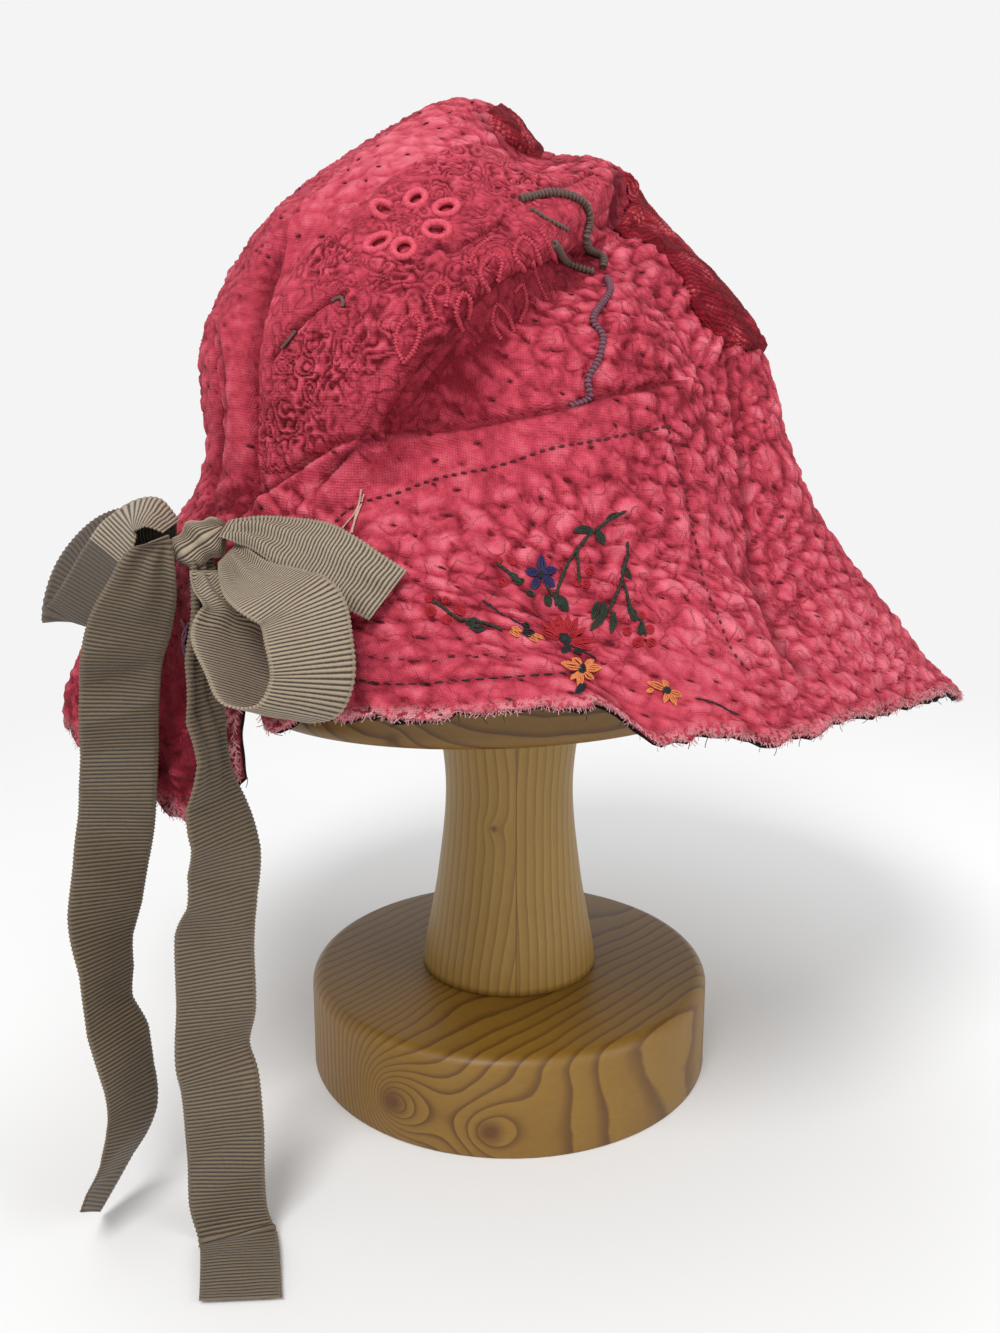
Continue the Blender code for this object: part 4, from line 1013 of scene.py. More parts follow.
def makePanel():
    form = cutwork
    grid, normals = crownPatch(form["turns"], form["columns"], form["rows"])
    seamed, _ = seamRelief(grid, normals)
    creased, dark = seamRelief(grid, normals, panelCreases, 1.6)
    x, y, depth = pixelOf(grid)
    within = insidePanel(grid)
    amount = np.full(x.shape, 0.10)
    holes = np.zeros(x.shape)
    for (spotX, spotY), reach, strength in ruchedPlaces:
        away = np.hypot(x - spotX, y - spotY) / reach
        amount = np.maximum(amount, strength * np.exp(-away ** 3))
    swirl = clothNoise(grid, form["curl"], 21) + 0.35 * clothNoise(grid, 2.4 * mm, 22)
    second = clothNoise(grid, form["curl"] * 0.8, 23) + 0.35 * clothNoise(grid, 2.2 * mm, 24)
    lineA = np.abs(2 * np.mod(swirl * form["curlLines"], 1) - 1)
    lineB = np.abs(2 * np.mod(second * form["curlLines"], 1) - 1)
    which = smoothStep(0.5 + clothNoise(grid, 9 * mm, 28) * 3)
    ridges = (which * (1 - lineA) + (1 - which) * (1 - lineB)) ** 0.75
    # the eyelet holes sink and are painted dark, as painted shade in the holes
    for hole in rosettePixels:
        away = np.hypot(x - hole[0], y - hole[1]) * depth / camera["focalPixels"]
        holes = np.maximum(holes, 1 - smoothStep((away - 1.3 * mm) / (0.9 * mm)))
    torn = clothNoise(grid, 3.1 * mm, 25)
    height = form["ridge"] * (ridges - 0.55) * amount
    height += form["wrinkle"] * (clothNoise(grid, 6.5 * mm, 26) * 0.8 + torn * 0.35) * (0.5 + 0.5 * amount)
    height += 0.12 * mm * clothNoise(grid, 1.1 * mm, 27)
    edge = smoothStep(within / form["border"])
    height = (height + creased) * edge + seamed
    height -= 2.2 * mm * holes
    height += form["lift"] * edge - form["sink"] * (1 - smoothStep((within + 0.6 * mm) / (1.6 * mm)))
    outer = grid + normals * height[..., None]
    inner = outer - normals * form["wall"]
    first = int(form["reach"][0] * form["rows"])
    kept = (within[:-1, :-1] > -0.4 * mm) & (within[1:, 1:] > -0.4 * mm)
    kept[:, :first] = False
    # ridge tops lighter, hollows between ridges, creases and holes darker: painted highlight and painted
    # shade, with painted light and shade at the drawn places
    masks = np.ones((*x.shape, 4))
    masks[..., 0] = np.clip(0.49 + 0.75 * (ridges - 0.6) * amount + 0.12 * torn + paintedLightShift(grid, normals)
        - 0.10 * amount, 0, 1)
    masks[..., 1] = np.clip(dark * 0.75 + holes + amount * np.clip(0.5 - ridges, 0, 1) * 2.2, 0, 1)
    masks[..., 2] = np.clip(amount * (ridges - 0.75) * 0.8, 0, 1) * 0.35
    made = layerPiece("cutwork_cloth", outer, inner, pinkLook, onlyMain(kept), clothMap(grid), masks)
    dress(made, "pink_quilt", "cutwork_panel")
    return made


def redCloth(name, grid, normals, height, kept, threadsRun, broken, form):
    # Worn red cloth, whose threads show. form is the tone and its two swings, then the specks' size,
    # seed and least height, then where the threads turn pale and how much.
    tone, threadTone, wornTone, speck, seed, speckFrom, paleFrom, paleShare = form
    outer = grid + normals * height[..., None]
    masks = np.ones((*height.shape, 4))
    masks[..., 0] = np.clip(tone + threadTone * threadsRun + wornTone * broken, 0, 1)
    masks[..., 1] = np.clip((clothNoise(grid, speck * mm, seed) - speckFrom) * 2.5, 0, 0.9)
    masks[..., 2] = np.clip(threadsRun - paleFrom, 0, 1) * np.clip(broken * paleShare, 0, 1)
    return layerPiece(name, outer, outer - normals * rawPatch["wall"], deepRed, onlyMain(kept),
        clothMap(grid), masks)


rawPatch = {"columns": 90, "rows": 160, "lift": 1.25 * mm, "wall": 0.6 * mm, "threadPitch": 1.6 * mm}


def makeRedPatch():
    grid, normals = crownPatch(redPatch["turns"], rawPatch["columns"], rawPatch["rows"])
    seamed, _ = seamRelief(grid, normals)
    _, down = runLengths(grid)
    rows = np.arange(rawPatch["rows"] + 1) / rawPatch["rows"]
    columns = np.arange(rawPatch["columns"] + 1) / rawPatch["columns"]
    start = redPatch["reach"][0] + 0.012 * clothNoise(grid[:, 25], 7 * mm, 31)
    end = redPatch["reach"][1] + 0.012 * clothNoise(grid[:, 100], 7 * mm, 32)
    kept = (rows[None, :-1] > start[:-1, None]) & (rows[None, 1:] < end[:-1, None])
    threadsRun = np.cos(math.tau * (down + 0.8 * mm * clothNoise(grid, 9 * mm, 33))
        / rawPatch["threadPitch"])
    broken = clothNoise(grid, 6 * mm, 34)
    height = seamed + rawPatch["lift"] + 0.22 * mm * threadsRun * np.clip(broken + 0.6, 0, 1)
    height += 0.6 * mm * clothNoise(grid, 8 * mm, 35)
    border = np.minimum(columns, 1 - columns)[:, None] * 78 * 1.6
    height = height - 1.4 * mm * (1 - smoothStep(border / 3))
    made = redCloth("raw_red_patch", grid, normals, height, kept, threadsRun, broken,
        (0.35, 0.25, 0.3, 2.6, 36, 0.42, 0.35, 1.5))
    dress(made, "red_cloth", "red_front_panel")


lining = {"firstRow": 8, "wall": 0.8 * mm, "peek": 1.9 * mm}


def makeLining():
    crownRows = hatForm["crownRows"]
    smooth = shell["smooth"][::2, crownRows + lining["firstRow"]:]
    normals = shell["normals"][::2, crownRows + lining["firstRow"]:]
    run = normalised(smooth[:, -1:] - smooth[:, -3:-2])
    edge = smooth[:, -1:]
    ragged = 0.18 + 0.80 * clothNoise(edge, 9 * mm, 41) + 0.35 * clothNoise(edge, 2.3 * mm, 42)
    peek = np.clip(ragged, -0.3, 1.3)[..., None] * lining["peek"]
    smooth = np.concatenate((smooth, edge + run * peek), axis=1)
    normals = np.concatenate((normals, normals[:, -1:]), axis=1)
    relief = 0.35 * mm * clothNoise(smooth, 6 * mm, 43)[..., None] * normals
    outer = smooth - normals * (hatForm["wall"] + hatForm["gap"]) + np.minimum(relief, 0)
    inner = outer - normals * lining["wall"] + relief * 0.4
    masks = np.ones((*smooth.shape[:2], 4))
    masks[..., 0] = 0.4 + 0.3 * clothNoise(smooth, 5 * mm, 44)
    masks[..., 1:3] = 0
    made = layerPiece("black_lining_cloth", outer, inner, blackLook, uvs=clothMap(smooth), masks=masks)
    dress(made, "black_lining", "brim_lining")


# Strips where the pink cloth has worn away to the red one, drawn in photo pixels
wornStrips = {"red_side_strip": {"turns": (84, 128), "columns": 110, "rows": 240, "lift": 1.8 * mm,
    "outline": ((616, 228), (632, 200), (628, 168), (640, 160), (665, 190), (690, 235), (734, 290),
    (765, 350), (752, 352), (730, 347), (712, 330), (694, 311), (676, 266), (650, 240))},
    "red_crown_strip": {"turns": (20, 90), "columns": 150, "rows": 330, "lift": 0.9 * mm,
    "outline": ((486, 110), (500, 104), (525, 122), (556, 146), (545, 154), (520, 150), (504, 139),
    (494, 124))},}


def insidePixels(points, normals, corners):
    # How far each place lies inside a drawn outline, in metres, where the cloth faces the camera.
    x, y, depth = pixelOf(points)
    best, _, inside = nearestOnLine(x, y, np.array((*corners, corners[0]), dtype=float))
    faces = np.sum(normals * normalised(np.array(camera["place"]) - points), axis=-1) > -0.25
    return np.where(inside & faces, best, -best) * depth / camera["focalPixels"]


def makeWornStrip(name, form):
    grid, normals = crownPatch(form["turns"], form["columns"], form["rows"])
    seamed, _ = seamRelief(grid, normals)
    within = insidePixels(grid, normals, form["outline"]) + 0.9 * mm * clothNoise(grid, 3 * mm, 61)
    around, down = runLengths(grid)
    threadsRun = np.cos(math.tau * (around * 0.5 + down + mm * clothNoise(grid, 9 * mm, 62)) / (1.5 * mm))
    broken = clothNoise(grid, 5 * mm, 63)
    height = seamed + form["lift"] + 0.25 * mm * threadsRun * np.clip(broken + 0.7, 0, 1)
    height += 0.9 * mm * (pillows(grid, 6.0 * mm, 64) - 0.5)
    height -= 2.2 * mm * (1 - smoothStep((within + 0.5 * mm) / (1.8 * mm)))
    kept = (within[:-1, :-1] > -0.3 * mm) & (within[1:, 1:] > -0.3 * mm)
    kept[:, :6] = False
    made = redCloth(name, grid, normals, height, kept, threadsRun, broken,
        (0.30, 0.22, 0.35, 2.2, 65, 0.35, 0.2, 1.6))
    dress(made, "red_cloth")


panelCloth = makePanel()
makeRedPatch()
for stripName, stripForm in wornStrips.items():
    makeWornStrip(stripName, stripForm)
makeLining()
print("panel, patch and lining made:", len(panelCloth.data.polygons), "panel faces")


# Geometry Nodes for wrapped cords, stitches and loose threads

def newTree(name, **sizes):
    tree = bpy.data.node_groups.new(name, "GeometryNodeTree")
    tree.interface.new_socket("Geometry", in_out="INPUT", socket_type="NodeSocketGeometry")
    for label, value in sizes.items():
        kind = "NodeSocketInt" if isinstance(value, int) else "NodeSocketFloat"
        socket = tree.interface.new_socket(label.replace("_", " "), in_out="INPUT", socket_type=kind)
        socket.default_value = value
    tree.interface.new_socket("Material", in_out="INPUT", socket_type="NodeSocketMaterial")
    tree.interface.new_socket("Geometry", in_out="OUTPUT", socket_type="NodeSocketGeometry")
    return tree, tree.nodes.new("NodeGroupInput").outputs


def finishTree(tree, given, geometry):
    realised = addNode(tree, "GeometryNodeRealizeInstances", {"Geometry": geometry})
    finished = addNode(tree, "GeometryNodeSetMaterial", {"Geometry": realised.outputs[0],
        "Material": given["Material"]})
    feed(tree, tree.nodes.new("NodeGroupOutput").inputs["Geometry"], finished.outputs[0])
    return tree


def lineOf(tree, given, pitch=None):
    # The carrier's edges as a curve, in steps of the input that pitch names.
    line = addNode(tree, "GeometryNodeMeshToCurve", {"Mesh": given["Geometry"]}).outputs[0]
    if pitch is None:
        return line
    return addNode(tree, "GeometryNodeResampleCurve", {"Curve": line, "Length": given[pitch]},
        mode="LENGTH").outputs[0]


def circle(tree, sides, radius):
    made = addNode(tree, "GeometryNodeCurvePrimitiveCircle", {"Resolution": sides, "Radius": radius})
    return made.outputs["Curve"]


def tube(tree, curve, section, **others):
    inputs = {"Curve": curve, "Profile Curve": section, **others}
    return addNode(tree, "GeometryNodeCurveToMesh", inputs).outputs[0]


def turnedAlong(tree, given):
    # The rotation that sets a piece's Z along the line and then tilts it by Slant.
    aligned = addNode(tree, "FunctionNodeAlignRotationToVector",
        {"Vector": addNode(tree, "GeometryNodeInputTangent").outputs[0]}, axis="Z")
    slant = addNode(tree, "ShaderNodeCombineXYZ", {"X": given["Slant"]})
    tilt = addNode(tree, "FunctionNodeEulerToRotation", {"Euler": slant.outputs[0]})
    return addNode(tree, "FunctionNodeRotateRotation", {"Rotation": aligned.outputs[0],
        "Rotate By": tilt.outputs[0]}, rotation_space="LOCAL").outputs[0]


def placed(tree, points, instance, rotation, **others):
    inputs = {"Points": points, "Instance": instance, "Rotation": rotation, **others}
    return addNode(tree, "GeometryNodeInstanceOnPoints", inputs).outputs[0]


def wrappedCordTree():
    # Thread wound round a core that follows a line of edges.
    tree, given = newTree("wrappedCord", Cord_radius=0.9 * mm, Thread_radius=0.3 * mm,
        Thread_pitch=0.6 * mm, Slant=0.2)
    spaced = lineOf(tree, given, "Thread pitch")
    turn = tube(tree, circle(tree, 10, given["Cord radius"]), circle(tree, 5, given["Thread radius"]))
    wound = placed(tree, spaced, turn, turnedAlong(tree, given))
    core = tube(tree, spaced, circle(tree, 8, given["Cord radius"]), **{"Fill Caps": True})
    joined = addNode(tree, "GeometryNodeJoinGeometry")
    for part in (wound, core):
        feed(tree, joined.inputs[0], part)
    return finishTree(tree, given, joined.outputs[0])


def strandTree():
    # A strand of thread along each line of edges, as thick as the vertices' attribute says.
    tree, given = newTree("strand", Strand_radius=0.3 * mm, Sides=5)
    thickness = addNode(tree, "GeometryNodeInputNamedAttribute", {"Name": "thickness"}, data_type="FLOAT")
    drawn = tube(tree, lineOf(tree, given), circle(tree, given["Sides"], given["Strand radius"]),
        **{"Fill Caps": True, "Scale": thickness.outputs["Attribute"]})
    return finishTree(tree, given, drawn)


def stitchRowTree():
    # Stitches laid end to end along a line of edges, with a gap between them.
    tree, given = newTree("stitchRow", Stitch_pitch=2.9 * mm, Stitch_length=2.0 * mm, Stitch_width=0.5 * mm,
        Slant=0.0)
    bead = addNode(tree, "GeometryNodeMeshUVSphere", {"Segments": 8, "Rings": 5, "Radius": 0.5})
    scale = addNode(tree, "ShaderNodeCombineXYZ", {"X": given["Stitch width"], "Y": given["Stitch width"],
        "Z": given["Stitch length"]})
    stitches = placed(tree, lineOf(tree, given, "Stitch pitch"), bead.outputs["Mesh"],
        turnedAlong(tree, given), Scale=scale.outputs[0])
    return finishTree(tree, given, stitches)


def frayTree():
    # Fibres that stand out from a raw edge at random turns and lengths.
    tree, given = newTree("fray", Fibre_pitch=0.5 * mm, Fibre_length=2.5 * mm, Fibre_radius=0.09 * mm,
        Seed=3)
    bend = addNode(tree, "GeometryNodeCurveQuadraticBezier",
        {"Resolution": 4, "Start": (0, 0, 0), "Middle": (0.12, 0.05, 0.5), "End": (0.42, -0.1, 0.9)})
    ratio = maths(tree, "DIVIDE", given["Fibre radius"], given["Fibre length"])
    fibre = tube(tree, bend.outputs[0], circle(tree, 3, 1.0), **{"Fill Caps": True, "Scale": ratio})
    spin = addNode(tree, "FunctionNodeRandomValue", {"Min": (2.2, -0.9, 0.0), "Max": (4.1, 0.9, 6.28),
        "Seed": given["Seed"]}, data_type="FLOAT_VECTOR")
    sizes = addNode(tree, "FunctionNodeRandomValue", {"Seed": given["Seed"]}, data_type="FLOAT")
    low, high = [socket for socket in sizes.inputs if socket.type == "VALUE" and socket.enabled]
    low.default_value, high.default_value = 0.35, 1.0
    share = [socket for socket in sizes.outputs if socket.type == "VALUE" and socket.enabled][0]
    size = maths(tree, "MULTIPLY", share, given["Fibre length"])
    turned = addNode(tree, "FunctionNodeEulerToRotation", {"Euler": spin.outputs[0]})
    fibres = placed(tree, lineOf(tree, given, "Fibre pitch"), fibre, turned.outputs[0], Scale=size)
    return finishTree(tree, given, fibres)


trees = {"cord": wrappedCordTree(), "strand": strandTree(), "stitches": stitchRowTree(), "fray": frayTree()}


def fromLines(name, lines, treeName, look, slotName, nodes=(), thickness=None, **sizes):
    # Each line is a list of places. The tree turns them into threads, and the result is a plain mesh.
    vertices, edges, weights = [], [], []
    for index, line in enumerate(lines):
        start = len(vertices)
        vertices += [tuple(place) for place in line]
        edges += [(start + step, start + step + 1) for step in range(len(line) - 1)]
        weights += list(thickness[index]) if thickness is not None else [1.0] * len(line)
    source = bpy.data.meshes.new(name + "_lines")
    source.from_pydata(vertices, edges, [])
    layer = source.attributes.new("thickness", "FLOAT", "POINT")
    layer.data.foreach_set("value", np.array(weights, dtype=np.float32))
    carrier = bpy.data.objects.new(name + "_lines", source)
    bpy.context.scene.collection.objects.link(carrier)
    modifier = carrier.modifiers.new(treeName, "NODES")
    modifier.node_group = trees[treeName]
    values = {label.replace("_", " "): value for label, value in sizes.items()}
    values["Material"] = look
    for item in trees[treeName].interface.items_tree:
        if item.in_out == "INPUT" and item.name in values:
            modifier[item.identifier] = values[item.name]
    bpy.context.view_layer.update()
    evaluated = carrier.evaluated_get(bpy.context.evaluated_depsgraph_get())
    mesh = bpy.data.meshes.new_from_object(evaluated)
    mesh.name = name
    bpy.data.objects.remove(carrier, do_unlink=True)
    if not mesh.materials:
        mesh.materials.append(look)
    mesh.shade_smooth()
    made = bpy.data.objects.new(name, mesh)
    bpy.context.scene.collection.objects.link(made)
    return dress(made, slotName, *nodes)


def treeOf(*pieces):
    points, polygons = [], []
    for piece in pieces:
        start = len(points)
        points += [vertex.co.copy() for vertex in piece.data.vertices]
        polygons += [[start + corner for corner in face.vertices] for face in piece.data.polygons]
    return BVHTree.FromPolygons(points, polygons)


nearSurface = treeOf(nearCloth, panelCloth, farCloth)


def onCloth(px, py, lift=0.0):
    # The place on the cloth that shows at a photo pixel, and its normal.
    origin = Vector(camera["place"])
    place, normal, _, _ = nearSurface.ray_cast(origin, rayThrough(px, py))
    if place is None:
        return None, None
    if normal.dot(origin - place) < 0:
        normal = -normal
    return place + normal * lift, normal


def routeOnCloth(route, lift, step=3.0):
    # A drawn pixel route as places on the cloth, about step pixels apart.
    keys = np.array(route, dtype=float)
    length = np.sum(np.linalg.norm(np.diff(keys, axis=0), axis=1))
    count = max(2, int(length / step))
    line = []
    for px, py in catmull(keys, np.linspace(0, len(keys) - 1, count + 1)):
        place, _ = onCloth(px, py, lift)
        if place is not None:
            line.append(place)
    return line


# Trim: eyelets of the rosette, wrapped stems, seam stitches

rosette = {"place": (-0.095, 0.787), "radius": 10.5 * mm, "turns": (76, 26, -15, -111, -150, 152),
    "ring": 3.10 * mm, "cord": 0.85 * mm, "thread": 0.26 * mm, "pitch": 0.42 * mm,}
stems = {"grey_stem": ("grey", 1.15 * mm, ((0.007, 0.812), (0.037, 0.825), (0.067, 0.821), (0.073, 0.800),
    (0.070, 0.779), (0.090, 0.767), (0.090, 0.752))), "grey_stem_branch": ("grey", 1.0 * mm,
    ((0.037, 0.762), (0.057, 0.750), (0.078, 0.743))), "grey_stem_thread": ("grey", 0.40 * mm,
    ((0.018, 0.800), (0.034, 0.788), (0.050, 0.783))), "purple_stem": ("purple", 0.85 * mm,
    ((0.093, 0.735), (0.093, 0.712), (0.073, 0.679), (0.083, 0.658), (0.077, 0.629), (0.067, 0.608),
    (0.070, 0.588), (0.053, 0.579))),}
leafLoops = (((404, 362), (396, 345), (400, 325), (414, 316), (420, 330), (414, 350), (404, 362)),
    ((462, 330), (456, 312), (462, 294), (470, 300), (468, 318)),
    ((500, 338), (492, 322), (496, 304), (508, 316), (514, 332)),
    ((520, 322), (526, 304), (522, 284), (514, 292)), ((488, 290), (480, 272), (492, 256), (502, 262),
    (498, 280)), ((524, 270), (514, 254), (522, 238), (534, 246), (540, 264)),
    ((546, 300), (538, 282), (532, 262)), ((436, 318), (430, 300), (438, 284), (448, 288), (446, 306)),
    ((556, 262), (548, 244), (540, 230)), ((470, 262), (478, 248), (492, 238)),)


def sidePlace(across, height, lift):
    # A place drawn in the side view, cast on the near side.
    start = Vector((across * hatForm["length"], -hatForm["length"],
        hatForm["foot"] + height * hatForm["height"]))
    place, normal, _, _ = nearSurface.ray_cast(start, Vector((0, 1, 0)))
    if normal.y > 0:
        normal = -normal
    return place + normal * lift, normal


def makeEyelets():
    length, height = hatForm["length"], hatForm["height"]
    for number, turn in enumerate(rosette["turns"], start=1):
        angle = math.radians(turn)
        across = rosette["place"][0] + rosette["radius"] * math.cos(angle) / length
        up = rosette["place"][1] + rosette["radius"] * math.sin(angle) / height
        low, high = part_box(f"eyelet_{number}")
        middle = (Vector(low) + Vector(high)) / 2
        normal = (sidePlace(across, up, 0)[1] + Vector((-0.15, -0.75, 0.55))).normalized()
        upright = normal.to_track_quat("Z", "Y")
        px, py = rosettePixels[number - 1]
        rims = [onCloth(px + dx, py + dy, 0.25 * mm)[0] for dx, dy in ((9, 0), (-9, 0), (0, 8), (0, -8))]
        centre = sum(rims, Vector()) / len(rims)
        if (centre - middle).length > 8 * mm:
            centre = middle
        stretch = 1.18 if number % 2 else 1.05
        ring = []
        for step in range(37):
            around = math.tau * step / 36
            spot = Vector((math.cos(around) * stretch, math.sin(around) / stretch * 0.96, 0))
            spot.rotate(Matrix.Rotation(angle, 3, "Z"))
            ring.append(centre + upright @ spot * rosette["ring"])
        fromLines(f"eyelet_ring_{number}", [ring], "cord", threads["rose"], "pink_quilt",
            (f"eyelet_{number}",), Cord_radius=rosette["cord"], Thread_radius=rosette["thread"],
            Thread_pitch=rosette["pitch"], Slant=0.12)


def makeStems():
    for name, (colour, radius, places) in stems.items():
        steps = 6 * (len(places) - 1)
        line = [sidePlace(*catmull(places, step / 6), radius * 0.75)[0] for step in range(steps + 1)]
        for _ in range(2):
            line[1:-1] = [(line[index - 1] + 2 * line[index] + line[index + 1]) / 4
                for index in range(1, len(line) - 1)]
        fromLines("wrapped_" + name, [line], "cord", threads[colour], f"{colour}_thread", (name,),
            Cord_radius=radius * 0.74, Thread_radius=0.52 * mm, Thread_pitch=1.30 * mm, Slant=0.30)
    loopLines = [routeOnCloth(route, 0.05 * mm) for route in leafLoops]
    fromLines("stitched_leaf_loops", [line for line in loopLines if len(line) > 2], "cord", threads["pink"],
        "pink_quilt", Cord_radius=0.46 * mm, Thread_radius=0.32 * mm, Thread_pitch=0.90 * mm, Slant=0.2)


# stitch rows: seam, colour, pitch, length, width, slant
stitchRows = {"chain": ("dashedLine", "maroon", 2.75, 2.1, 0.85, 0.45),
    "dots": ("dottedLine", "maroon", 2.6, 1.3, 0.75, 0.1),
    "running": ("hemStitch", "black", 3.4, 2.5, 0.42, 0.06),
    "edging": ("upperHem", "maroon", 4.2, 1.6, 0.35, 0.0),}


def makeSeamStitches():
    for name, (seamName, colour, pitch, length, width, slant) in stitchRows.items():
        line = routeOnCloth(seams[seamName][4], 0.12 * mm)
        fromLines(name + "_stitches", [line], "stitches", threads[colour], "pink_quilt",
            Stitch_pitch=pitch * mm, Stitch_length=length * mm, Stitch_width=width * mm, Slant=slant)


def makeQuiltStitches():
    # A short strand sunk in every stitch place of the quilting.
    outer, normals, stitch = shell["outer"], shell["normals"], shell["stitch"]
    peak = stitch[1:-1, 1:-1] > 0.80
    for dc in (-1, 0, 1):
        for dr in (-1, 0, 1):
            if dc or dr:
                neighbour = stitch[1 + dc:stitch.shape[0] - 1 + dc, 1 + dr:stitch.shape[1] - 1 + dr]
                peak &= stitch[1:-1, 1:-1] >= neighbour
    lines, weights = [], []
    for column, row in zip(*np.nonzero(peak)):
        column, row = column + 1, row + 1
        if shell["covered"][column, row] > 0.3 or row < 8:
            continue
        along = normalised(outer[column + 1, row] - outer[column - 1, row])
        upward = normals[column, row]
        turn = (hashed(column, row, 5, 9) - 0.5) * 0.9
        along = along * math.cos(turn) + np.cross(upward, along) * math.sin(turn)
        middle = outer[column, row]
        lines.append([middle - along * 1.15 * mm + upward * 0.15 * mm, middle + upward * 0.42 * mm,
            middle + along * 1.15 * mm + upward * 0.15 * mm])
        weights.append([0.55, 1.0, 0.55])
    half = len(lines) // 2
    for name, part in (("quilting_stitches", slice(0, half)), ("quilting_stitches_far", slice(half, None))):
        fromLines(name, lines[part], "strand", threads["maroon"], "pink_quilt", thickness=weights[part],
            Strand_radius=0.25 * mm, Sides=4)
    return len(lines)


makeEyelets()
makeStems()
makeSeamStitches()
print("trim made, with", makeQuiltStitches(), "quilting stitches")


# Embroidered sprigs and flowers on the brim, drawn in photo pixels

# stems are worked in short slanted stitches along a route
sprigStems = {"upperSprig": ((556, 602), (558, 588), (566, 568), (577, 550), (588, 536), (600, 527),
    (612, 518), (622, 513)), "upperTwig": ((577, 552), (578, 566), (579, 580)),
    "lowerTwig": ((548, 588), (553, 596), (559, 603)), "smallSprig": ((499, 565), (509, 573), (519, 581)),
    "rightSprig": ((627, 546), (627, 556), (623, 570), (621, 582), (616, 594), (610, 610)),
    "rightTwig": ((625, 587), (628, 600), (632, 613), (641, 622), (645, 633)),
    "leftSprig": ((433, 602), (443, 608), (452, 615), (464, 620), (476, 621), (488, 624), (498, 629)),
    "longStem": ((486, 603), (498, 611), (512, 620), (525, 626)),
    "lowStem": ((699, 699), (712, 702), (724, 708), (735, 714)),
    "flowerStem": ((572, 646), (584, 652), (592, 656)),}
# each leaf is its base, its tip and its width in mm
leaves = {"green": (((592, 530), (573, 531), 2.1), ((597, 530), (604, 545), 2.0),
    ((546, 596), (550, 607), 2.0), ((556, 596), (568, 612), 2.6), ((560, 596), (562, 606), 1.6),
    ((607, 611), (590, 631), 1.9), ((614, 612), (611, 634), 1.6), ((598, 602), (592, 620), 1.8),
    ((604, 602), (602, 618), 1.6), ((628, 606), (636, 622), 1.7), ((622, 566), (631, 580), 1.4),
    ((470, 627), (486, 630), 2.2), ((466, 624), (478, 619), 1.6), ((620, 514), (606, 519), 1.3),
    ((641, 624), (640, 636), 1.6), ((510, 573), (519, 582), 1.5), ((524, 580), (514, 584), 1.3),
    ((525, 592), (535, 596), 1.2),), "black": (((522, 632), (536, 636), 2.2), ((574, 652), (584, 648), 1.8),
    ((562, 653), (570, 645), 1.6), ((576, 692), (586, 684), 1.8), ((564, 636), (569, 645), 2.4),),}
flowerPetals = {"blue": (((541, 572), (541, 555), 2.3), ((543, 573), (557, 569), 2.3),
    ((543, 577), (555, 587), 2.3), ((539, 578), (532, 590), 2.3), ((538, 574), (525, 571), 2.3)),
    "red": (((561, 638), (541, 622), 1.5), ((562, 636), (549, 618), 1.5), ((563, 635), (558, 614), 1.6),
    ((565, 635), (568, 615), 1.6), ((567, 636), (578, 618), 1.6), ((568, 638), (586, 628), 1.6),
    ((569, 641), (597, 641), 1.5), ((560, 640), (540, 630), 1.3), ((568, 643), (592, 650), 1.3)),
    "orange": (((582, 668), (561, 663), 1.8), ((582, 667), (572, 658), 1.6), ((584, 667), (594, 660), 1.6),
    ((585, 669), (602, 668), 1.8), ((584, 672), (594, 679), 1.7), ((582, 673), (578, 688), 1.8),
    ((581, 672), (570, 680), 1.5), ((666, 690), (646, 682), 1.4), ((667, 689), (662, 680), 1.2),
    ((669, 692), (682, 697), 1.4), ((667, 693), (664, 703), 1.3), ((669, 694), (676, 706), 1.3),
    ((512, 627), (524, 633), 1.2), ((510, 631), (520, 637), 1.2), ((528, 636), (538, 642), 1.2),
    ((533, 634), (545, 640), 1.2), ((653, 690), (645, 692), 1.0)),}
# berries are places with a radius in mm
berries = {"red": ((577, 583, 1.4), (586, 584, 1.4), (590, 571, 1.3), (498, 561, 1.3), (512, 562, 1.3),
    (503, 583, 1.4), (429, 599, 1.3), (431, 612, 1.7), (446, 601, 1.3), (460, 611, 1.8), (447, 620, 1.6),
    (641, 616, 1.3), (627, 632, 1.4), (649, 630, 1.5), (638, 643, 1.6), (651, 643, 1.4)),
    "black": ((563, 638, 1.5), (582, 669, 1.4), (666, 691, 1.3), (541, 575, 1.2), (526, 626, 1.1)),}


def satinStitch(base, tip, width, seed):
    # Strands side by side that fan out from base and close again at the tip.
    (bx, by), (tx, ty) = base, tip
    length = math.hypot(tx - bx, ty - by)
    across = (-(ty - by) / length, (tx - bx) / length)
    count = max(3, int(round(width / 0.42)))
    lines, weights = [], []
    for index in range(count):
        side = (index / (count - 1) - 0.5) * width * 3.4
        line = []
        for share in (0.0, 0.25, 0.5, 0.75, 1.0):
            bulge = math.sin(math.pi * min(0.98, 0.06 + share * 0.92)) ** 0.8
            trim = 0.05 * hashed(index, seed, int(share * 8), 7)
            px = bx + (tx - bx) * (share * (1 - trim)) + across[0] * side * bulge
            py = by + (ty - by) * (share * (1 - trim)) + across[1] * side * bulge
            place, _ = onCloth(px, py, (0.12 + 0.35 * math.sin(math.pi * share)) * mm)
            if place is not None:
                line.append(place)
        if len(line) == 5:
            lines.append(line)
            weights.append([0.75, 1.0, 1.1, 1.0, 0.6])
    return lines, weights


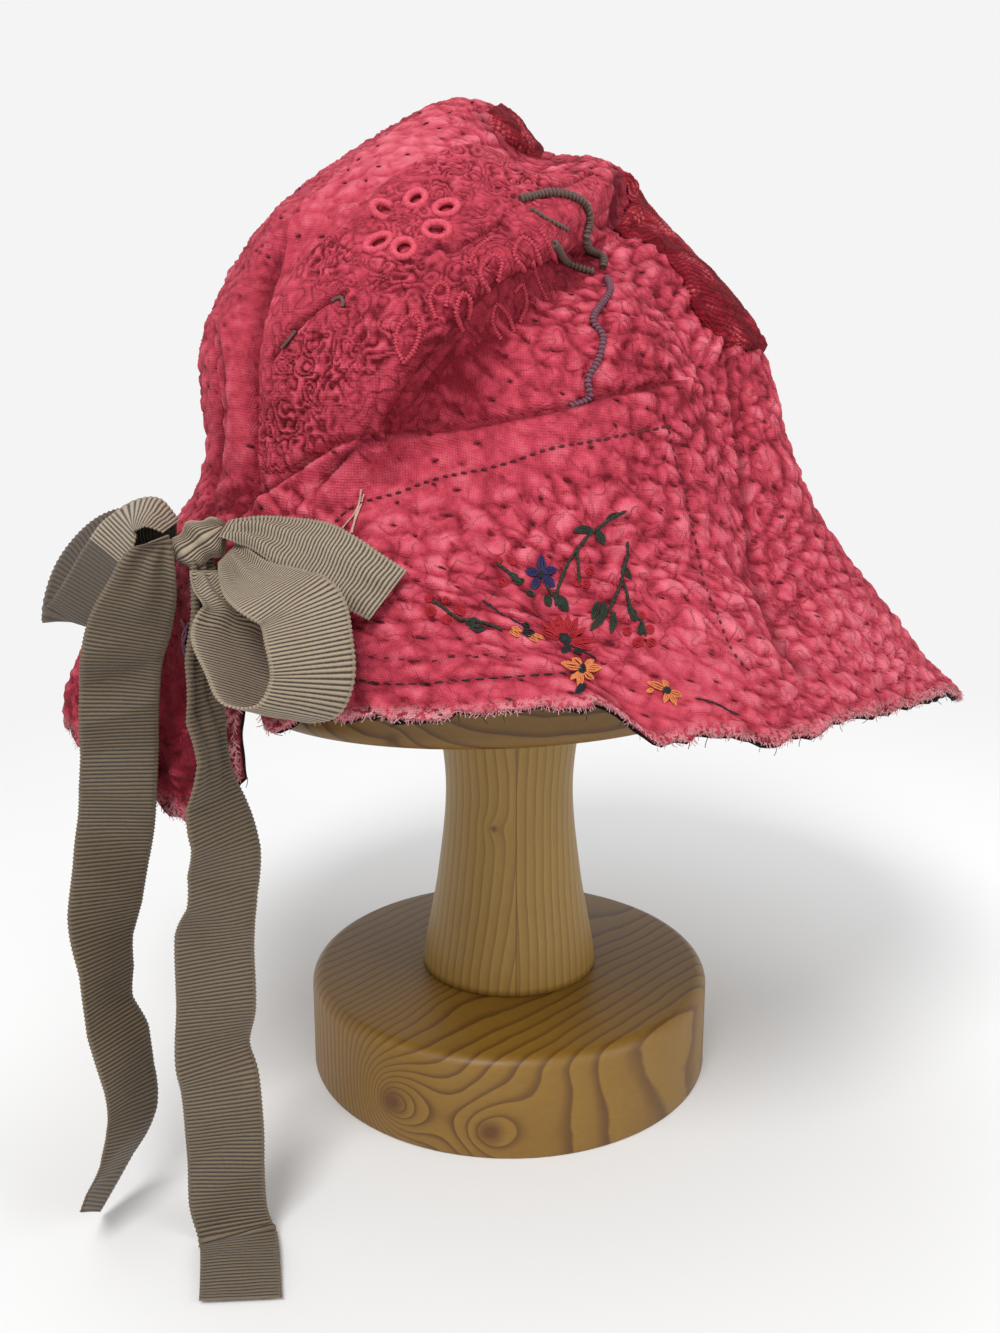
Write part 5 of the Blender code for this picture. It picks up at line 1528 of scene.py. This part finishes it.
def makeEmbroidery():
    satin = {}

    def add(colour, lines, weights):
        satin.setdefault(colour, ([], []))
        satin[colour][0].extend(lines)
        satin[colour][1].extend(weights)

    seed = 0
    for group in (leaves, flowerPetals):
        for colour, strokes in group.items():
            for base, tip, width in strokes:
                seed += 1
                add(colour, *satinStitch(base, tip, width, seed))
    for colour, spots in berries.items():
        for px, py, radius in spots:
            seed += 1
            reach = radius * 3.3
            turn = hashed(seed, 1, 2, 3) * math.pi
            dx, dy = math.cos(turn) * reach, math.sin(turn) * reach
            add(colour, *satinStitch((px - dx, py - dy), (px + dx, py + dy), radius * 1.6, seed))
    for colour, (lines, weights) in satin.items():
        fromLines(f"embroidery_{colour}", lines, "strand", threads[colour], "pink_quilt", thickness=weights,
            Strand_radius=0.24 * mm, Sides=5)
    for name, route in sprigStems.items():
        colour = "black" if name in ("longStem", "lowStem", "flowerStem") else "green"
        thick = 0.5 if colour == "black" else 0.95
        fromLines(f"embroidery_{name}", [routeOnCloth(route, 0.25 * mm)], "stitches", threads[colour],
            "pink_quilt", Stitch_pitch=1.7 * mm, Stitch_length=2.7 * mm, Stitch_width=thick * mm,
            Slant=0.22)
    print("embroidery made:", seed, "satin shapes")


# Raw edges and loose threads

frays = {"pitch": 0.34 * mm, "farPitch": 0.50 * mm, "length": 2.1 * mm, "radius": 0.13 * mm,
    "liningPitch": 5.5 * mm, "liningLength": 3.2 * mm,}
# loose threads: colour, thickness in mm, pixel route on or beside the cloth
looseThreads = (("pale", 0.30, ((352, 534), (355, 522), (358, 508), (361, 489))),
    ("pale", 0.26, ((350, 536), (356, 520), (361, 506), (363, 494))),
    ("pale", 0.22, ((342, 530), (350, 520), (356, 512), (360, 500))),
    ("grey", 0.60, ((333, 301), (339, 297), (345, 301), (343, 306))),
    ("grey", 0.50, ((282, 347), (290, 338), (296, 330))),
    ("purple", 0.5, ((183, 620), (188, 632), (184, 645), (190, 664))),
    ("purple", 0.4, ((190, 622), (184, 640), (192, 655))),)


def makeFrays():
    form = frays
    crown = hatForm["crownRows"]
    hem = shell["outer"][:, -1] - shell["normals"][:, -1] * 0.5 * mm
    slit = shell["outer"][0, crown + 4:]
    flap = shell["outer"][-1, crown + 4:]
    half = len(hem) // 2
    lines = {"near": [hem[:half + 1].tolist()], "far": [hem[half:].tolist()],
        "slit": [slit.tolist(), flap.tolist()]}
    for name, rows in lines.items():
        pitch = form["farPitch" if name == "far" else "pitch"]
        fromLines(f"raw_edge_{name}", rows, "fray", threads["rawPink"], "pink_quilt", Fibre_pitch=pitch,
            Fibre_length=form["length"], Fibre_radius=form["radius"], Seed=3 + len(name))
    under = shell["smooth"][:, -1] - shell["normals"][:, -1] * 3.3 * mm
    fromLines("lining_threads", [under.tolist()], "fray", threads["black"], "black_lining",
        Fibre_pitch=form["liningPitch"], Fibre_length=form["liningLength"], Fibre_radius=0.13 * mm, Seed=12)
    lines, weights = {}, {}
    for colour, thick, route in looseThreads:
        line = routeOnCloth(route, 0.5 * mm, 4.0)
        if len(line) > 1:
            lines.setdefault(colour, []).append(line)
            weights.setdefault(colour, []).append([thick] * len(line))
    for colour, rows in lines.items():
        fromLines(f"loose_threads_{colour}", rows, "strand", threads[colour], "pink_quilt",
            thickness=weights[colour], Strand_radius=1.0 * mm, Sides=5)


makeEmbroidery()
makeFrays()
print("raw edges made")


# Ribbons of the bow. A station is across, away and up from the knot in ribbon widths (a tail's up is a
# share of the knot's height), the direction and lean of the ribbon's width in degrees, and its span.

ribbonForm = {"width": 22 * mm, "wall": 0.55 * mm, "ribPitch": 1.15 * mm, "ribDepth": 0.20 * mm,
    "perRib": 4, "columns": 12, "picot": 0.35 * mm, "knotTurn": 0.3, "knotRise": 0.425,
    "knotOut": 11.93 * mm, "knotSize": (14.4 * mm, 12.4 * mm, 12.5 * mm),}
loops = {"left_loop": ((-0.375, 0.04, 0.20, 90, 19, 0.50), (-0.62, 0.09, 0.36, 100, 20, 0.90),
    (-0.89, 0.13, 0.31, 112, 18, 1.00), (-1.07, 0.09, 0.09, 130, 16, 1.00),
    (-1.33, 0.13, -0.36, 144, 13, 1.00), (-1.60, 0.18, -0.84, 152, 8, 1.00),
    (-1.78, 0.36, -1.07, 153, 8, 1.00), (-1.91, 0.53, -0.89, 153, 8, 1.00),
    (-1.73, 0.58, -0.48, 150, 26, 1.00), (-1.33, 0.52, -0.12, 138, 52, 1.00),
    (-0.86, 0.42, 0.00, 128, 62, 0.90), (-0.385, 0.24, 0.02, 119, 40, 0.60)),
    "right_loop": ((0.40, -0.24, -0.12, 60, 40, 0.36), (0.76, -0.90, -0.34, 38, 28, 0.66),
    (1.20, -1.52, -0.42, 36, 22, 0.96), (1.56, -1.78, -0.58, 36, 24, 1.00),
    (1.71, -2.12, -0.92, 36, 14, 1.00), (1.76, -2.30, -1.31, 36, 0, 1.00),
    (1.58, -2.34, -1.64, 36, -12, 1.00), (1.14, -2.14, -1.69, 38, -22, 1.00),
    (0.84, -1.69, -1.42, 38, -24, 1.00), (0.67, -1.38, -1.18, 38, -20, 1.00),
    (0.58, -1.11, -0.98, 36, -16, 0.90), (0.58, -0.89, -0.76, 34, -16, 0.75),
    (0.31, -0.67, -0.53, 25, -12, 0.50), (0.13, -0.38, -0.33, 20, -5, 0.35)),
    "ribbon_end": ((0.33, -0.09, 0.18, -92, -30, 0.35), (0.78, -0.27, 0.17, -100, -38, 0.56),
    (1.44, -0.68, -0.02, -106, -50, 0.84), (1.86, -0.98, -0.19, -112, -56, 0.86),
    (2.18, -1.17, -0.34, -140, -50, 0.78), (2.49, -1.27, -0.51, -155, -46, 0.74)),}
tails = {"left_tail": ((-0.42, -0.36, 1.008, 60, 30, 0.36), (-0.53, -0.44, 0.980, 30, -10, 0.62),
    (-0.67, -0.36, 0.936, 22, -14, 0.85), (-0.89, -0.22, 0.886, 18, -10, 1.00),
    (-1.07, -0.09, 0.837, 12, -4, 1.00), (-1.22, 0.13, 0.767, 14, 0, 1.00),
    (-1.34, 0.22, 0.634, 10, 0, 1.00), (-1.44, 0.13, 0.545, 24, 0, 1.00), (-1.56, 0.00, 0.455, 44, 0, 1.00),
    (-1.55, -0.13, 0.386, 64, 0, 1.00), (-1.47, -0.27, 0.322, 73, 0, 1.00),
    (-1.31, -0.40, 0.272, 68, 0, 1.00), (-1.17, -0.53, 0.203, 68, -12, 1.00),
    (-1.20, -0.62, 0.149, 74, -28, 1.00), (-1.44, -0.76, 0.089, 88, -36, 1.00),
    (-1.64, -1.06, 0.046, 96, -37, 1.00)), "right_tail": ((0.02, -0.06, 0.992, 60, 0, 0.30),
    (0.04, -0.18, 0.963, 60, 0, 0.35), (0.09, -0.40, 0.911, 75, 0, 0.50), (0.04, -0.62, 0.842, 75, 0, 0.55),
    (0.18, -0.80, 0.752, 78, 0, 0.70), (0.27, -0.93, 0.698, 72, 0, 0.85), (0.31, -0.93, 0.639, 57, 0, 1.00),
    (0.34, -0.89, 0.584, 50, 0, 1.00), (0.30, -0.89, 0.525, 40, 0, 1.00), (0.15, -0.84, 0.460, 26, 0, 1.00),
    (0.11, -0.80, 0.356, 16, 0, 1.00), (0.04, -0.80, 0.282, 32, 0, 1.00), (0.13, -0.89, 0.238, 18, 0, 1.00),
    (0.18, -0.98, 0.168, 6, 0, 1.00), (0.18, -1.02, 0.059, 4, 0, 1.00), (0.27, -1.07, 0.017, 0, 0, 1.00),
    (0.38, -1.29, 0.010, -4, 0, 1.00), (0.60, -2.18, 0.010, -6, 0, 1.00)),}


def knotCentre():
    azimuth = math.radians(hatForm["frontAzimuth"] + 180 + ribbonForm["knotTurn"])
    outward = np.array((math.cos(azimuth), math.sin(azimuth), 0))
    level = float(levelAt(ribbonForm["knotRise"]))
    return bellPoint(ribbonForm["knotTurn"], level) + outward * ribbonForm["knotOut"]


def ribbonPath(stations, isTail):
    # Centre line, width vectors and normals at every quarter of a rib.
    width = ribbonForm["width"]
    rows = np.array(stations, dtype=float)
    knot = knotCentre()
    centre = rows[:, :3] * width + knot
    if isTail:
        centre[:, 2] = rows[:, 2] * knot[2]
    facing, lean = np.radians(rows[:, 3]), np.radians(rows[:, 4])
    across = np.stack((np.cos(facing) * np.cos(lean), np.sin(facing) * np.cos(lean), np.sin(lean)), axis=1)
    places = np.linspace(0, len(rows) - 1, 40 * (len(rows) - 1) + 1)
    line = catmull(centre, places)
    run = np.concatenate(([0], np.cumsum(np.linalg.norm(np.diff(line, axis=0), axis=1))))
    count = int(run[-1] / ribbonForm["ribPitch"]) * ribbonForm["perRib"]
    wanted = np.interp(np.linspace(0, run[-1], count + 1), run, places)
    centre = catmull(centre, wanted)
    across = catmull(across, wanted)
    tangent = normalised(np.gradient(centre, axis=0))
    across = across - tangent * np.sum(across * tangent, axis=1, keepdims=True) * 0.5
    across = normalised(across)
    span = catmull(rows[:, 5], wanted) * width
    normal = normalised(np.cross(tangent, across))
    return centre, across, span, normal, run[-1]


def makeRibbon(name, stations, isTail=False):
    form = ribbonForm
    centre, across, span, normal, length = ribbonPath(stations, isTail)
    count, columns = len(centre) - 1, form["columns"]
    seed = len(name) + int(length / mm)
    share = np.linspace(-0.5, 0.5, columns + 1)
    ribs = np.arange(count + 1) / form["perRib"]
    wave = np.cos(math.tau * ribs) * form["ribDepth"] / 2
    run = np.linspace(0, length, count + 1)
    # a drawn-in ribbon folds along its length, and all of it is a little uneven
    gather = np.clip(1 - span / form["width"], 0, 1)
    places = np.stack((run[:, None] + share * 0, share[None, :] * form["width"] + run[:, None] * 0,
        np.full((count + 1, columns + 1), seed * 0.01)), axis=-1)
    crumple = clothNoise(places, 16 * mm, seed) * 0.55 * mm + clothNoise(places, 7 * mm,
        seed + 1) * 0.22 * mm
    pleat = np.sin(share[None, :] * math.tau * 2.2 + 0.6) * gather[:, None] * 2.4 * mm
    if isTail:
        # soft creases where the tail was once folded
        slanted = (run[:, None] + share[None, :] * 15 * mm * np.sin(run[:, None] / (23 * mm))) / (27 * mm)
        crease = np.abs(2 * np.mod(slanted + 0.2 * clothNoise(places, 40 * mm, seed + 2), 1) - 1)
        fade = smoothStep((run - 0.12 * length) / (0.1 * length)) * (0.35 + 0.65
            * smoothStep(1 - run / length))
        crumple = crumple + 2.8 * mm * (crease - 0.5) * fade[:, None]
    edge = 1 - np.abs(np.abs(share) * 2 - 1) * columns / 2
    picot = np.clip(edge, 0, 1)[None, :] * np.sign(share)[None, :] * wave[:,
        None] / form["ribDepth"] * form["picot"]
    endFade = smoothStep(run / (8 * mm)) * smoothStep((length - run)
        / (4 * mm)) if not isTail else smoothStep(run / (8 * mm))
    middle = centre[:, None] + across[:, None] * (share[None, :, None] * span[:, None, None]
        + picot[..., None])
    middle = middle + normal[:, None] * ((crumple + pleat) * endFade[:, None])[..., None]
    outer, inner = (middle + side * normal[:, None] * (form["wall"] / 2 + wave[:, None, None] * 0.5)
        for side in (1, -1))
    uvs = np.stack(np.broadcast_arrays(share[None, :], ribs[:, None]), axis=-1)
    made = layerPiece("grosgrain_" + name, outer, inner, tailLook if isTail else ribbonLook, uvs=uvs)
    if name == "left_loop":
        # past its first turn the loop is painted darker, as painted shade
        made.data.materials.append(shadedLook)
        turnRow = int(count * 0.25)
        size = (count + 1) * (columns + 1)
        for polygon in made.data.polygons:
            row = min(corner % size for corner in polygon.vertices) // (columns + 1)
            polygon.material_index = int(row >= turnRow)
    dress(made, "grosgrain", name)
    return made


knotForm = {"tilt": -34.0, "around": 176, "along": 28, "squareness": 0.62, "ribs": 44,
    "ribDepth": 0.10 * mm, "fold": 0.75 * mm, "inset": 0.4 * mm, "half": 0.56, "tip": 0.52,}


def makeKnot():
    # A band of the ribbon drawn tight round the bow, lower at its left end, its ribs across the band.
    form = knotForm
    length, depth, height = ribbonForm["knotSize"]
    place, angle = np.meshgrid(np.linspace(-1, 1, form["along"] + 1),
        np.arange(form["around"]) * math.tau / form["around"], indexing="ij")
    # a rounded band round the ribbon's own direction, pinched in at its sides
    x, z = (np.sign(value) * np.abs(value) ** form["squareness"]
        for value in (np.cos(angle), np.sin(angle)))
    swell = 1 - 0.30 * place ** 2 - 0.30 * np.abs(place) ** 6
    relief = form["ribDepth"] * np.cos(form["ribs"] * angle)
    relief = (relief + form["fold"] * np.sin(place * 6.5 + 1.6 * np.sin(angle + 0.8))) / np.hypot(x, z)
    band = np.stack((place * length * form["half"] * (0.95 + 0.05 * np.cos(angle * 2)),
        x * ((depth * 0.5 - form["inset"]) * swell + relief),
        z * ((height * 0.5 - form["inset"]) * swell + relief)), axis=-1)
    tips = [np.array((side * length * form["tip"], 0, 0)) for side in (-1, 1)]
    rings = np.concatenate(([band[0] + (tips[0] - band[0]) * 0.6], band,
        [band[-1] + (tips[1] - band[-1]) * 0.6]))
    turn = np.array(Matrix.Rotation(math.radians(form["tilt"]), 3, "Y"))
    first, last = (knotCentre() + turn @ tip for tip in tips)
    rings = knotCentre() + rings @ turn.T
    # across stays inside the pale selvedge
    uv = np.stack((place * 0.44, angle / math.tau * form["ribs"]), axis=-1)
    uv = np.concatenate(([(0, 0)], uv[0], uv.reshape(-1, 2), uv[-1], [(0, 0)]))
    dress(ringPiece("grosgrain_knot", first, rings, last, ribbonLook, uv), "grosgrain", "ribbon_knot")


makeKnot()
for ribbonName, stations in loops.items():
    makeRibbon(ribbonName, stations)
for ribbonName, stations in tails.items():
    makeRibbon(ribbonName, stations, isTail=True)
print("bow made")


# Studio

studio = {
    "floor": (0.885, 0.885, 0.885), "glow": 0.905, "glowFrom": 0.30, "glowTo": 1.0,
    "world": (1.0, 1.0, 1.0), "worldStrength": 0.62,
    # place, aim, size, watts
    "key": ((-0.30, -0.85, 1.20), (0, 0, 0.2), 0.55, 11.5),
    "side": ((1.15, -0.75, 0.65), (0, 0, 0.2), 0.7, 4.2),
    "back": ((0.2, 1.0, 1.3), (0, 0, 0.2), 0.8, 3.0),
}


def addLight(name, row):
    place, aim, size, power = row
    data = bpy.data.lights.new(name, "AREA")
    data.shape = "DISK"
    data.size = size
    data.energy = power
    made = bpy.data.objects.new(name, data)
    made.location = place
    made.rotation_euler = (Vector(aim) - Vector(place)).to_track_quat("-Z", "Y").to_euler()
    bpy.context.scene.collection.objects.link(made)


def makeStudio():
    world = bpy.data.worlds.new("paleStudio")
    world.use_nodes = True
    background = world.node_tree.nodes["Background"]
    background.inputs["Color"].default_value = (*studio["world"], 1)
    background.inputs["Strength"].default_value = studio["worldStrength"]
    bpy.context.scene.world = world
    look, tree, shader = newLook("paleFloor", 0.95, Specular_IOR_Level=0.0, Emission_Strength=1.0)
    # away from the stand the floor turns into an even pale backdrop
    away = vectorMaths(tree, "LENGTH", objectPlace(tree))
    share = spread(tree, away, studio["glowFrom"], studio["glowTo"], interpolation_type="SMOOTHSTEP")
    feed(tree, shader.inputs["Base Color"], mixed(tree, share, studio["floor"], (0, 0, 0)))
    feed(tree, shader.inputs["Emission Color"], mixed(tree, share, (0, 0, 0), (studio["glow"],) * 3))
    # a floor that sweeps up at the far side
    rows = [(-3.0, 0.0), (0.9, 0.0)]
    for step in range(1, 17):
        turn = math.pi / 2 * step / 16
        rows.append((0.9 + 1.2 * math.sin(turn), 1.2 * (1 - math.cos(turn))))
    rows.append((2.1, 4.0))
    vertices = [(x, y, z - 0.05 * mm) for y, z in rows for x in (-4.0, 4.0)]
    faces = [(2 * row, 2 * row + 1, 2 * row + 3, 2 * row + 2) for row in range(len(rows) - 1)]
    pieceFrom("studioSweep", vertices, faces, look, closed=False)
    for name in ("key", "side", "back"):
        addLight(name + "Light", studio[name])


makeStudio()
bpy.context.scene.view_settings.view_transform = "Standard"
print("studio made")

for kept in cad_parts.values():
    if kept.hide_render:
        continue
    name = kept.name
    look = pinkLook
    if "stem" in name:
        look = threads["purple" if "purple" in name else "grey"]
    elif "lining" in name:
        look = blackLook
    elif "red" in name:
        look = deepRed
    kept.data.materials.clear()
    kept.data.materials.append(look)
